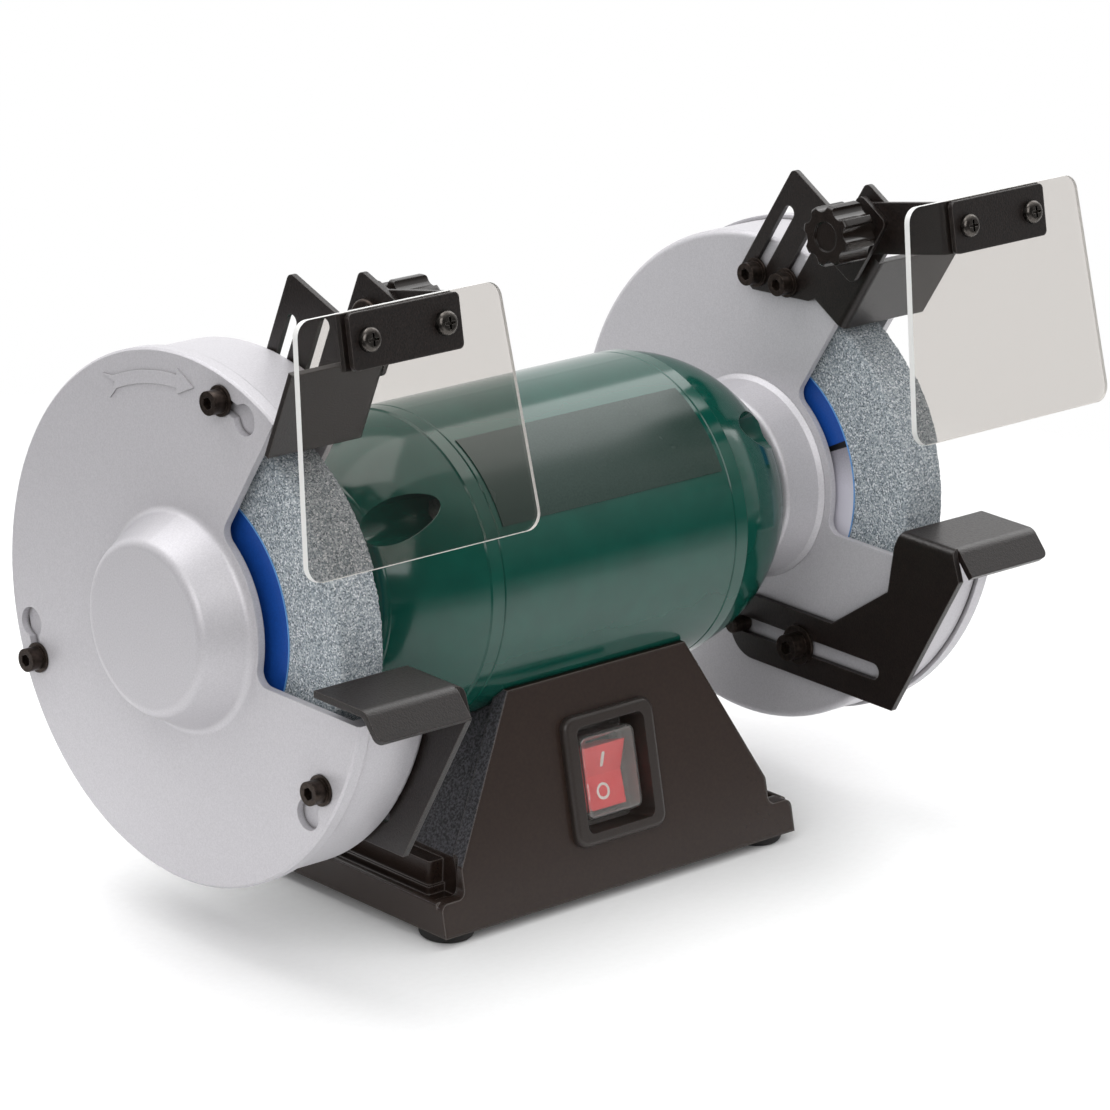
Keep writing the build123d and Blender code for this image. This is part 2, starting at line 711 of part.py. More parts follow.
def keyhole_pad(angle):
    """Pad of the guard behind a keyhole of the cover."""
    pad = SlotArc(keyhole_path(angle), 2 * KEYHOLE_RADIUS + KEYHOLE_PAD)
    return extrude(cover_plane(COVER_INSIDE) * pad, KEYHOLE_PAD)


def keyhole(angle):
    """Curved slot with one wide end, so that a loosened cover turns off its screws."""
    upright = cover_plane(COVER_INSIDE - 1)
    profile = SlotArc(keyhole_path(angle), 2 * M5_CAP[0] + 2 * SLOT_PLAY)
    wide = math.radians(angle - KEYHOLE_TURN)
    centre = (COVER_SCREW_CIRCLE * math.cos(wide), COVER_SCREW_CIRCLE * math.sin(wide))
    profile += Pos(*centre) * Circle(KEYHOLE_RADIUS)
    return extrude(upright * profile, -2 * COVER_PLATE - 2)


def rotation_arrow():
    """Raised swallow-tailed arrow that shows which way the wheel turns."""
    start, end = ARROW_ANGLES
    half = ARROW_WIDTH / 2
    barb = ARROW_BARBS / 2

    def on_ring(offset, angle):
        turn = math.radians(angle)
        radius = ARROW_CIRCLE + offset
        return radius * math.cos(turn), radius * math.sin(turn)

    neck = start - ARROW_POINT * 0.6
    middle = (neck + end) / 2
    above = ThreePointArc(on_ring(half, neck), on_ring(half, middle), on_ring(half, end))
    point = Polyline(
        on_ring(half, end),
        on_ring(barb, end),
        on_ring(0, end - ARROW_POINT),
        on_ring(-barb, end),
        on_ring(-half, end),
    )
    below = ThreePointArc(on_ring(-half, end), on_ring(-half, middle), on_ring(-half, neck))
    tail = Polyline(
        on_ring(-half, neck),
        on_ring(-barb, start),
        on_ring(0, neck),
        on_ring(barb, start),
        on_ring(half, neck),
    )
    outline = make_face(above + point + below + tail)
    return extrude(cover_plane(COVER_FACE) * outline, -ARROW_HEIGHT)


def outer_cover():
    rim = 0.8
    profile = make_face(
        Polyline(
            spot(COVER_IN, 0),
            spot(COVER_IN, COVER_RADIUS),
            spot(COVER_FACE - rim, COVER_RADIUS),
            spot(COVER_FACE, COVER_RADIUS - rim),
            spot(COVER_FACE, DOME_BASE),
            spot(DOME_FACE, DOME_TOP),
            spot(DOME_FACE, 0),
            close=True,
        )
    )
    brow = profile.vertices().group_by(Axis.X)[-1].sort_by(Axis.Z)[-1]
    profile = fillet(brow, DOME_BROW)
    foot = min(profile.vertices().group_by(Axis.X)[-3], key=lambda corner: corner.Z)
    cover = revolve(fillet(foot, DOME_FOOT), SHAFT_AXIS)
    cover -= on_shaft(COVER_IN - 1, COVER_INSIDE, COVER_RADIUS - COVER_SKIRT_WALL)
    hollow = turned(
        Polyline(
            spot(COVER_INSIDE - 1, 0),
            spot(COVER_INSIDE - 1, DOME_BASE - COVER_PLATE),
            spot(DOME_FACE - COVER_PLATE, DOME_TOP - 1),
            spot(DOME_FACE - COVER_PLATE, 0),
            close=True,
        )
    )
    cover -= hollow
    cover -= opening_cutter(COVER_IN - 1, COVER_FACE + 0.01)
    for angle in COVER_SCREW_ANGLES:
        cover -= keyhole(angle)
    return cover + rotation_arrow()


def cover_screws():
    pieces = []
    for angle in COVER_SCREW_ANGLES:
        y, z = polar(COVER_SCREW_CIRCLE, angle)
        pieces += cap_screw(M5_CAP, COVER_FACE, COVER_INSIDE - 10, y, z, towards_motor=False)
    return both_ends(pieces)


def guard_screws():
    seat = SPIGOT_END + COLLAR_WEB
    pieces = []
    for angle in GUARD_SCREW_ANGLES:
        y, z = polar(GUARD_SCREW_CIRCLE, angle)
        head = along_x(M5_CAP[1], seat, seat + 3.5, y, z)
        head += along_x(M5_CAP[0], SPIGOT_END - SPIGOT_LENGTH + 4, seat + 1, y, z)
        pieces.append(head - hexagon_x(4.0, seat + 1.5, seat + 4, y, z))
    return both_ends(pieces)


# Spark arresters

def slot_x(width, length, y, z, along_z=True):
    """Cutter for a straight slot through a sheet that faces along X."""
    turn = Rot(0, 0, 90) if along_z else Rot(0, 0, 0)
    upright = Plane(origin=(0, y, z), x_dir=(0, 1, 0), z_dir=(1, 0, 0))
    return extrude(upright * (turn * SlotCenterToCenter(length, width)), LONG, both=True)


def outer_bend(x, y, low, high):
    """Cutter that rounds the outside of a vertical bend in sheet metal."""
    middle = (low + high) / 2
    corner = Pos(x, y, middle) * Box(2 * SHEET_BEND, 2 * SHEET_BEND, high - low)
    return corner - Pos(x + SHEET_BEND, y + SHEET_BEND, middle) * Cylinder(SHEET_BEND, 2 * LONG)


def spark_arrester(side):
    rear_y, rear_z = ARRESTER_REAR_SCREW
    foot_y = TAB_REAR - 2.7
    outline = [
        (-ARRESTER_BEND, ARRESTER_FOOT),
        (-ARRESTER_BEND, TAB_TOP),
        (TAB_REAR, TAB_TOP),
        (TAB_REAR, ARRESTER_TOP),
        (ARRESTER_REAR, ARRESTER_TOP),
        (ARRESTER_REAR, rear_z - ARRESTER_EDGE * 0.8),
        (rear_y - 2, rear_z - ARRESTER_EDGE),
        (foot_y, ARRESTER_FOOT - 3),
        (foot_y - 2, ARRESTER_FOOT),
    ]
    upright = Plane(origin=(ARRESTER_INNER, 0, 0), x_dir=(0, 1, 0), z_dir=(1, 0, 0))
    profile = make_face(Polyline(*outline, close=True))
    sharp = [v for v in profile.vertices() if v.Y > ARRESTER_TOP - 1 and v.X > -ARRESTER_BEND + 1]
    sharp += [v for v in profile.vertices() if v.X > ARRESTER_REAR - 1 and v.Y < 0]
    sheet = extrude(upright * fillet(sharp, SHEET_CORNER), SHEET)
    reach = ARRESTER_INNER + DEFLECTOR_REACH
    height = ARRESTER_TOP - ARRESTER_FOOT
    deflector = Pos(
        (ARRESTER_INNER + reach) / 2,
        SHEET / 2 - ARRESTER_BEND,
        ARRESTER_FOOT + height / 2,
    ) * Box(reach - ARRESTER_INNER, SHEET, height)
    sheet += deflector
    sheet -= outer_bend(ARRESTER_INNER, -ARRESTER_BEND, ARRESTER_FOOT, ARRESTER_TOP)
    width = 2 * M5_CAP[0] + 2 * SLOT_PLAY
    middle = ARRESTER_TRAVEL / 2
    sheet -= slot_x(width, ARRESTER_TRAVEL, 0, middle)
    sheet -= slot_x(width, ARRESTER_TRAVEL, rear_y, rear_z + middle)
    sheet -= along_x(CLAMP_BOLT_RADIUS, ARRESTER_INNER - 1, SHEET_FACE + 1, -PIVOT_FORWARD, PIVOT_UP)
    return to_side(side, arrester_frame(side) * sheet)


def arrester_screws():
    seat = ARRESTER_INNER - RUNNING_CLEARANCE
    pieces = []
    for side in ("left", "right"):
        for y, z in arrester_screw_places(side):
            for piece in cap_screw(M5_CAP, seat, WHEEL_IN - 1.5, y, z):
                pieces.append(to_side(side, piece))
    return Compound(pieces)


def pressure_plate(side):
    width, below, above = PRESSURE_PLATE
    centre = (above - below) / 2
    upright = Plane(origin=(KNOB_BASE, 0, 0), x_dir=(0, 1, 0), z_dir=(1, 0, 0))
    outline = Pos(-PIVOT_FORWARD, PIVOT_UP + centre) * RectangleRounded(width, below + above, 3.0)
    plate = extrude(upright * outline, SHEET)
    plate -= along_x(CLAMP_BOLT_RADIUS, KNOB_BASE - 1, PLATE_FACE + 1, -PIVOT_FORWARD, PIVOT_UP)
    return to_side(side, arrester_frame(side) * plate)


def clamp_bolt(side):
    tip = KNOB_BASE - KNOB_HUB_LENGTH - KNOB_LENGTH + KNOB_CAP + 1
    bolt = along_x(CLAMP_BOLT_RADIUS, tip, SHEET_FACE + 1, -PIVOT_FORWARD, PIVOT_UP)
    head = along_x(
        CLAMP_HEAD_RADIUS, SHEET_FACE, SHEET_FACE + CLAMP_HEAD_HEIGHT, -PIVOT_FORWARD, PIVOT_UP
    )
    edge = head.edges().filter_by(GeomType.CIRCLE).sort_by(Axis.X)[-1:]
    return to_side(side, arrester_frame(side) * (bolt + fillet(edge, 1.2)))


def clamp_knob(side):
    y, z = -PIVOT_FORWARD, PIVOT_UP
    skirt = KNOB_BASE - KNOB_HUB_LENGTH
    face = skirt - KNOB_LENGTH
    grip = along_x(KNOB_RADIUS, face, skirt, y, z)
    grip = fillet(grip.edges().filter_by(GeomType.CIRCLE), 1.2)
    for index in range(KNOB_FLUTES):
        turn = math.radians(index * 360 / KNOB_FLUTES)
        flute = KNOB_RADIUS + KNOB_FLUTE_RADIUS * 0.35
        grip -= along_x(
            KNOB_FLUTE_RADIUS, face - 1, skirt + 1, y + flute * math.cos(turn), z + flute * math.sin(turn)
        )
    grip += along_x(KNOB_HUB_RADIUS, skirt - 1, KNOB_BASE - RUNNING_CLEARANCE, y, z)
    grip -= along_x(KNOB_DISH_RADIUS, face - 1, face + KNOB_DISH, y, z)
    bore = CLAMP_BOLT_RADIUS + RUNNING_CLEARANCE
    grip -= along_x(bore, face + KNOB_CAP, KNOB_BASE + 1, y, z)
    return to_side(side, arrester_frame(side) * grip)


# Eye shields

def shield_frame(side):
    """Place of a shield: origin at the clamp bolt, Y to the rear along its arm."""
    pivot = (arrester_frame(side) * Pos(0, -PIVOT_FORWARD, PIVOT_UP)).position
    return Location((0, pivot.Y, pivot.Z), (-ARM_RISE, 0, 0))


def shield_screw_stations():
    half = CLAMP_SCREW_SPACING / 2
    return CLAMP_CENTRE - half, CLAMP_CENTRE + half


def along_arm(radius, y_start, y_end, x):
    """Cylinder along the arm, for the screws of a shield."""
    return Pos(x, (y_start + y_end) / 2, 0) * Rot(90, 0, 0) * Cylinder(radius, y_end - y_start)


def shield_arm(side):
    inner = ARM_FACE - SHEET
    front = -ARM_LENGTH - SHEET
    half = ARM_HEIGHT / 2
    strip = Pos((inner + ARM_FACE) / 2, front / 2, 0) * Box(SHEET, -front, ARM_HEIGHT)
    strip += along_x(half, inner, ARM_FACE, 0, 0)
    strip += Pos(CLAMP_CENTRE, front + SHEET / 2, 0) * Box(CLAMP_LENGTH, SHEET, ARM_HEIGHT)
    strip -= outer_bend(inner, front, -half, half)
    strip -= along_x(CLAMP_BOLT_RADIUS + RUNNING_CLEARANCE, inner - 1, ARM_FACE + 1, 0, 0)
    for x in shield_screw_stations():
        strip -= along_arm(SHIELD_SCREW_RADIUS, front - 1, front + SHEET + 1, x)
    return to_side(side, shield_frame(side) * strip)


def shield_stack():
    """Rear faces along the arm of the shield and of its front clamp."""
    shield_rear = -ARM_LENGTH - SHEET
    clamp_rear = shield_rear - SHIELD_THICKNESS
    return shield_rear, clamp_rear


def eye_shield(side):
    shield_rear, _ = shield_stack()
    facing = Plane(origin=(CLAMP_CENTRE, shield_rear, 0), x_dir=(1, 0, 0), z_dir=(0, -1, 0))
    outline = [
        (-SHIELD_TOP / 2, SHIELD_ABOVE),
        (SHIELD_TOP / 2, SHIELD_ABOVE),
        (SHIELD_BOTTOM / 2, -SHIELD_BELOW),
        (-SHIELD_BOTTOM / 2, -SHIELD_BELOW),
    ]
    profile = make_face(Polyline(*outline, close=True))
    sheet = extrude(facing * fillet(profile.vertices(), SHIELD_CORNER), SHIELD_THICKNESS)
    for x in shield_screw_stations():
        sheet -= along_arm(SHIELD_SCREW_RADIUS, shield_rear - 2 * SHIELD_THICKNESS, shield_rear + 1, x)
    return to_side(side, shield_frame(side) * sheet)


def shield_clamp(side):
    _, clamp_rear = shield_stack()
    facing = Plane(origin=(CLAMP_CENTRE, clamp_rear, 0), x_dir=(1, 0, 0), z_dir=(0, -1, 0))
    plate = extrude(facing * RectangleRounded(CLAMP_LENGTH - 2, ARM_HEIGHT, 2.0), SHEET)
    for x in shield_screw_stations():
        plate -= along_arm(SHIELD_SCREW_RADIUS, clamp_rear - 2 * SHEET, clamp_rear + 1, x)
    return to_side(side, shield_frame(side) * plate)


def shield_screws(side):
    shield_rear, clamp_rear = shield_stack()
    seat = clamp_rear - SHEET
    nut_start = shield_rear + SHEET
    nut_end = nut_start + SHIELD_NUT_HEIGHT
    pieces = []
    for x in shield_screw_stations():
        screw = along_arm(SHIELD_SCREW_RADIUS, seat - 1, nut_end + 0.8, x)
        head = along_arm(SHIELD_HEAD_RADIUS, seat - SHIELD_HEAD_HEIGHT, seat, x)
        edge = head.edges().filter_by(GeomType.CIRCLE).sort_by(Axis.Y)[:1]
        screw += fillet(edge, SHIELD_HEAD_HEIGHT * 0.7)
        recess = Pos(x, seat - SHIELD_HEAD_HEIGHT, 0) * (Box(4.4, 2.4, 0.9) + Box(0.9, 2.4, 4.4))
        nut = extrude(RegularPolygon(SHIELD_NUT_FLATS / math.sqrt(3), 6), SHIELD_NUT_HEIGHT)
        nut = Pos(x, nut_end, 0) * Rot(90, 0, 0) * nut
        nut -= along_arm(SHIELD_SCREW_RADIUS, nut_start - 1, nut_end + 1, x)
        pieces += [screw - recess, nut]
    return to_side(side, shield_frame(side) * Compound(pieces))


# Tool rests

def rest_side_profile():
    """Side plate of a rest in Y and Z, measured from the shaft."""
    low = REST_SLOT_Z - REST_ARM_HALF
    high = REST_SLOT_Z + REST_ARM_HALF
    neck_y, neck_z = REST_NECK
    drop = math.radians(REST_LIP_ANGLE)
    brow_y = REST_FRONT_Y - REST_SLIT - REST_LIP * math.cos(drop) * 0.45
    brow_z = REST_TOP - REST_SHEET - REST_LIP * math.sin(drop)
    arm_end = REST_ARM_END_Y - REST_ARM_HALF
    arm = Polyline(
        (arm_end, high),
        (REST_ARM_KNEE_Y, high),
        (neck_y, neck_z),
        (neck_y - 2, REST_TOP - 6),
        (REST_REAR_Y, REST_TOP),
        (REST_FRONT_Y, REST_TOP),
        (brow_y, brow_z),
        (REST_TOE_Y, low),
        (arm_end, low),
    )
    nose = ThreePointArc((arm_end, low), (REST_ARM_END_Y, REST_SLOT_Z), (arm_end, high))
    return make_face(arm + nose)


def tool_rest(side):
    inner = SHEET_FACE - REST_SHEET
    upright = Plane(origin=(inner, 0, SHAFT_HEIGHT), x_dir=(0, 1, 0), z_dir=(1, 0, 0))
    rest = extrude(upright * rest_side_profile(), REST_SHEET)
    top_z = SHAFT_HEIGHT + REST_TOP
    depth = REST_REAR_Y - REST_FRONT_Y
    lip_start = inner + REST_SHEET + REST_SLIT
    rest += Pos(
        (inner + lip_start) / 2,
        (REST_REAR_Y + REST_FRONT_Y) / 2,
        top_z - REST_SHEET / 2,
    ) * Box(lip_start - inner, depth, REST_SHEET)
    corner = Pos(inner, REST_FRONT_Y, top_z) * Box(2 * REST_BEND, 4 * REST_LIP + 2 * depth, 2 * REST_BEND)
    bend_axis = Pos(inner + REST_BEND, REST_FRONT_Y, top_z - REST_BEND) * Rot(90, 0, 0)
    rest -= corner - bend_axis * Cylinder(REST_BEND, LONG)
    drop = math.radians(REST_LIP_ANGLE)
    reach_y = REST_LIP * math.cos(drop)
    reach_z = REST_LIP * math.sin(drop)
    thick_y = REST_SHEET * math.sin(drop)
    thick_z = REST_SHEET * math.cos(drop)
    crease = REST_SHEET * math.tan(drop / 2)
    table = make_face(
        Polyline(
            (REST_REAR_Y, REST_TOP),
            (REST_FRONT_Y, REST_TOP),
            (REST_FRONT_Y - reach_y, REST_TOP - reach_z),
            (REST_FRONT_Y - reach_y + thick_y, REST_TOP - reach_z - thick_z),
            (REST_FRONT_Y + crease, REST_TOP - REST_SHEET),
            (REST_REAR_Y, REST_TOP - REST_SHEET),
            close=True,
        )
    )
    outside = table.vertices().sort_by_distance((REST_FRONT_Y, REST_TOP, 0))[0]
    table = fillet(outside, REST_LIP_BEND)
    inside = table.vertices().sort_by_distance((REST_FRONT_Y + crease, REST_TOP - REST_SHEET, 0))[0]
    table = fillet(inside, REST_LIP_BEND - REST_SHEET)
    lip_plane = Plane(origin=(lip_start, 0, SHAFT_HEIGHT), x_dir=(0, 1, 0), z_dir=(1, 0, 0))
    lip = extrude(lip_plane * table, REST_WIDTH - REST_SHEET - REST_SLIT)
    lip_corner = lip.faces().sort_by(Axis.X)[-1].edges().sort_by(Axis.Z)[:1]
    rest += fillet(lip_corner, REST_BEND)
    slot_rear = REST_PIN_Y
    slot_length = slot_rear - REST_SLOT_FRONT_Y
    cutter = slot_x(
        2 * M6_CAP[0] + 2 * SLOT_PLAY,
        slot_length,
        (slot_rear + REST_SLOT_FRONT_Y) / 2,
        SHAFT_HEIGHT + REST_SLOT_Z,
        along_z=False,
    )
    return to_side(side, rest - cutter)


def rest_bolts():
    (bolt_y, bolt_z), (pin_y, pin_z) = rest_places()
    outside = SHEET_FACE - REST_SHEET - RUNNING_CLEARANCE
    pieces = cap_screw(M6_CAP, outside, WHEEL_IN - 1.5, bolt_y, bolt_z)
    pin = along_x(REST_PIN_RADIUS, outside - REST_PIN_PROUD, WHEEL_IN - 1.5, pin_y, pin_z)
    tip = pin.edges().filter_by(GeomType.CIRCLE).sort_by(Axis.X)[:1]
    pieces.append(chamfer(tip, 0.6))
    return both_ends(pieces)


# Base

def panel_slope():
    return (BASE_HALF_Y - BODY_TOP_HALF_Y) / (BODY_TOP - FOOT_HEIGHT)


def waist_along_y(inset):
    """Middle of the base seen from the front, run through from front to rear."""
    low = BODY_HALF_X - inset
    high = BODY_TOP_HALF_X - inset
    corners = [
        (-low, FOOT_HEIGHT),
        (-low, BODY_SHOULDER),
        (-high, BODY_TOP),
        (high, BODY_TOP),
        (low, BODY_SHOULDER),
        (low, FOOT_HEIGHT),
    ]
    return extrude(Plane.XZ * make_face(Polyline(*corners, close=True)), LONG / 2, both=True)


def wedge_along_x(inset=0.0):
    """Base seen from the side, run through from left to right."""
    low = BASE_HALF_Y - inset
    high = BODY_TOP_HALF_Y - panel_slope() * FOOT_HEIGHT - inset
    top = BODY_TOP + FOOT_HEIGHT
    corners = [(-low, FOOT_HEIGHT), (low, FOOT_HEIGHT), (high, top), (-high, top)]
    return extrude(Plane.YZ * make_face(Polyline(*corners, close=True)), LONG / 2, both=True)


def panel():
    """Front panel with a wide foot, a rounded step and sloping flanks."""
    flank = [
        (BASE_HALF_X, FOOT_HEIGHT),
        (BASE_HALF_X, SKIRT_TOP),
        (BODY_HALF_X, SKIRT_TOP),
        (BODY_HALF_X, BODY_SHOULDER),
        (BODY_TOP_HALF_X, BODY_TOP),
    ]
    other_flank = [(-x, z) for x, z in reversed(flank)]
    outline = make_face(Polyline(*flank, *other_flank, close=True))
    knees = [v for v in outline.vertices() if FOOT_HEIGHT < v.Y < BODY_TOP]
    slab = extrude(Plane.XZ * fillet(knees, PANEL_CORNER), LONG / 2, both=True)
    slab = slab & (wedge_along_x() - wedge_along_x(PANEL_PROUD))
    slab = slab.solids().sort_by(Axis.Y)[0]
    face = min(slab.faces(), key=lambda one: one.normal_at().Y)
    rim = [edge for edge in face.edges() if FOOT_HEIGHT + 1 < edge.center().Z < BODY_TOP - 1]
    return fillet(rim, PANEL_EDGE)


def side_rail():
    """Low wall along the right edge of the base, with a rounded rim."""
    height = SKIRT_TOP - FOOT_HEIGHT
    profile = Pos(BASE_HALF_X - BASE_WALL / 2, FOOT_HEIGHT + height / 2) * Rectangle(BASE_WALL, height)
    rim = profile.vertices().sort_by(Axis.Y)[-2:]
    rail = extrude(Plane.XZ * fillet(rim, RAIL_EDGE), LONG / 2, both=True)
    return rail & wedge_along_x(PANEL_PROUD / 2)


def step_block():
    """Ledge and step at the foot of each side."""
    block = Pos(0, 0, (FOOT_HEIGHT + STEP_TOP) / 2) * Box(
        2 * STEP_HALF_X, 2 * STEP_HALF_Y, STEP_TOP - FOOT_HEIGHT
    )
    block = fillet(block.edges().filter_by(Axis.Z), STEP_EDGE)
    ledge = Pos(0, 0, (FOOT_HEIGHT + LEDGE_TOP) / 2) * Box(
        2 * (STEP_HALF_X + LEDGE), 2 * (STEP_HALF_Y + LEDGE), LEDGE_TOP - FOOT_HEIGHT
    )
    return block + fillet(ledge.edges().filter_by(Axis.Z), STEP_EDGE)


def corner_places(x, y):
    return [(sx * x, sy * y) for sx in (-1, 1) for sy in (-1, 1)]


def front_panel():
    """Plane of the sloping front panel at the middle of the switch, facing outwards."""
    lean = math.atan(panel_slope())
    y = -BASE_HALF_Y + panel_slope() * (SWITCH_Z - FOOT_HEIGHT)
    return Plane(
        origin=(0, y, SWITCH_Z),
        x_dir=(1, 0, 0),
        z_dir=(0, -math.cos(lean), math.sin(lean)),
    )


def rear_panel():
    lean = math.atan(panel_slope())
    y = BASE_HALF_Y - panel_slope() * (GLAND_Z - FOOT_HEIGHT)
    return Plane(
        origin=(GLAND_X, y, GLAND_Z),
        x_dir=(-1, 0, 0),
        z_dir=(0, math.cos(lean), math.sin(lean)),
    )


def base_housing():
    floor_low, floor_high = TRAY_FLOOR
    behind_panel = wedge_along_x(PANEL_PROUD / 2)
    floor = Pos(0, 0, (floor_low + floor_high) / 2) * Box(
        2 * BASE_HALF_X - BASE_WALL, 2 * BASE_HALF_Y, floor_high - floor_low
    )
    rail = side_rail()
    housing = (floor & behind_panel) + rail + mirrored(rail)
    upper = (waist_along_y(PANEL_PROUD) & behind_panel) + step_block()
    housing += upper & (Pos(0, 0, floor_low + LONG / 2) * Box(LONG, LONG, LONG))
    front = panel()
    housing += front + mirror(front, about=Plane.XZ)
    under_high = floor_low - FOOT_HEIGHT
    housing -= Pos(0, 0, FOOT_HEIGHT + under_high / 2 - 0.5) * Box(
        2 * (BASE_HALF_X - BASE_WALL), 2 * (BASE_HALF_Y - SKIRT_WALL), under_high + 1
    )
    hollow = waist_along_y(PANEL_PROUD + BASE_WALL) & wedge_along_x(BASE_WALL)
    hollow -= on_shaft(-LONG / 2, LONG / 2, SHELL_RADIUS + BASE_WALL)
    housing -= hollow
    housing -= on_shaft(-LONG / 2, LONG / 2, SHELL_RADIUS)
    post_low = FOOT_HEIGHT + PLATE_THICKNESS
    for x, y in corner_places(*PLATE_SCREW_XY):
        post = Cylinder(PLATE_SCREW_RADIUS + 2.5, floor_high - post_low)
        housing += Pos(x, y, (post_low + floor_high) / 2) * post
    for x, y in corner_places(*PLATE_SCREW_XY):
        housing -= Pos(x, y, FOOT_HEIGHT) * Cylinder(PLATE_SCREW_RADIUS, 2 * (floor_high - FOOT_HEIGHT))
    for x, y in corner_places(*FOOT_AT):
        housing -= Pos(x, y, SKIRT_TOP) * Cylinder(MOUNT_HOLE, 4 * SKIRT_TOP)
    for x in (-MOTOR_BOLT_X, MOTOR_BOLT_X):
        housing -= Pos(x, 0, SHAFT_HEIGHT - SHELL_RADIUS) * Cylinder(TIE_RADIUS, 6 * BASE_WALL)
    housing -= on_panel(extrude(well_outline(SWITCH_CUT), 3 * BASE_WALL, both=True))
    housing -= rear_panel().location * Cylinder(GLAND_BODY, 8 * BASE_WALL)
    return housing


def base_plate():
    half_x = BASE_HALF_X - BASE_WALL - PLATE_PLAY
    half_y = BASE_HALF_Y - SKIRT_WALL - PLATE_PLAY
    plate = Pos(0, 0, FOOT_HEIGHT + PLATE_THICKNESS / 2) * Box(2 * half_x, 2 * half_y, PLATE_THICKNESS)
    for x, y in corner_places(*FOOT_AT):
        plate -= Pos(x, y, FOOT_HEIGHT) * Cylinder(MOUNT_HOLE, 4 * PLATE_THICKNESS)
    for x, y in corner_places(*PLATE_SCREW_XY):
        plate -= Pos(x, y, FOOT_HEIGHT) * Cylinder(PLATE_SCREW_RADIUS, 4 * PLATE_THICKNESS)
    return plate


def rubber_feet():
    pieces = []
    for x, y in corner_places(*FOOT_AT):
        foot = Pos(x, y, FOOT_HEIGHT / 2) * Cylinder(FOOT_RADIUS, FOOT_HEIGHT)
        foot = fillet(foot.edges().filter_by(GeomType.CIRCLE).sort_by(Axis.Z)[:1], FOOT_EDGE)
        pieces.append(foot - Pos(x, y, 0) * Cylinder(MOUNT_HOLE, 4 * FOOT_HEIGHT))
    return Compound(pieces)


def base_plate_screws():
    top = TRAY_FLOOR[1] - 1
    low = FOOT_HEIGHT - PLATE_SCREW_HEAD_HEIGHT
    pieces = []
    for x, y in corner_places(*PLATE_SCREW_XY):
        head = Pos(x, y, (low + FOOT_HEIGHT) / 2) * Cylinder(PLATE_SCREW_HEAD, PLATE_SCREW_HEAD_HEIGHT)
        pieces.append(head + Pos(x, y, (low + top) / 2) * Cylinder(PLATE_SCREW_RADIUS, top - low))
    return Compound(pieces)


def motor_base_bolts():
    """Two bolts up through the saddle into the shell, each with its nut inside the shell."""
    seat = SHAFT_HEIGHT - SHELL_RADIUS - BASE_WALL
    nut_low = SHAFT_HEIGHT - SHELL_INNER + NUT_LIFT
    nut_high = nut_low + MOTOR_NUT_HEIGHT
    pieces = []
    for x in (-MOTOR_BOLT_X, MOTOR_BOLT_X):
        bolt = Pos(x, 0, (seat + nut_high) / 2) * Cylinder(TIE_RADIUS, nut_high - seat + 1)
        head_z = seat - SADDLE_GAP - MOTOR_BOLT_HEAD / 2
        bolt += Pos(x, 0, head_z) * Cylinder(M5_CAP[1], MOTOR_BOLT_HEAD)
        bolt += Pos(x, 0, seat) * Cylinder(TIE_RADIUS, MOTOR_BOLT_HEAD)
        corner_radius = MOTOR_NUT_FLATS / math.sqrt(3)
        nut = Pos(x, 0, nut_low) * extrude(RegularPolygon(corner_radius, 6), MOTOR_NUT_HEIGHT)
        pieces += [bolt, nut - Pos(x, 0, nut_low) * Cylinder(TIE_RADIUS, 4 * MOTOR_NUT_HEIGHT)]
    return Compound(pieces)


# Switch, drawn with X to the right, Y up the panel and Z outwards

def on_panel(shape):
    return front_panel().location * shape


def in_well(shape):
    """Place a piece on the floor of the switch well."""
    return on_panel(Pos(0, 0, -WELL_DEPTH) * shape)


def well_outline(clearance=0.0):
    """Outside of the well that the bezel carries behind the panel."""
    grow = 2 * (WELL_WALL + clearance)
    width, height = BEZEL_OPENING
    return RectangleRounded(width + grow, height + grow, BEZEL_CORNER * 0.6 + WELL_WALL)


def switch_bezel():
    frame = extrude(RectangleRounded(*BEZEL, BEZEL_CORNER), BEZEL_HEIGHT)
    rim = frame.faces().sort_by(Axis.Z)[-1].edges()
    frame = fillet(rim, BEZEL_HEIGHT * 0.6)
    frame += extrude(well_outline(), -WELL_DEPTH)
    frame -= extrude(RectangleRounded(*BEZEL_OPENING, BEZEL_CORNER * 0.6), LONG / 2, both=True)
    return on_panel(frame)


def switch_body():
    width, height, depth = SWITCH_BODY
    body = Pos(0, 0, -depth / 2) * Box(width, height, depth)
    body += extrude(well_outline(), -WELL_WALL)
    well = (ROCKER[0] + 0.8, ROCKER[1] + 1.6, ROCKER_DEPTH + 2)
    body -= Pos(0, 0, -well[2] / 2 + 0.5) * Box(well[0], well[1], well[2] + 1)
    pin_hole = Rot(0, 90, 0) * Cylinder(ROCKER_PIN + RUNNING_CLEARANCE, ROCKER[0] + 8)
    body -= Pos(0, 0, ROCKER_PIVOT - 2) * pin_hole
    blade = Box(TERMINAL[1], TERMINAL[0], TERMINAL[2])
    for x in (-SWITCH_CHEEK, SWITCH_CHEEK):
        for y in (-SWITCH_CHEEK, SWITCH_CHEEK):
            body += Pos(x, y, -depth - TERMINAL[2] / 2) * blade
    return in_well(body)


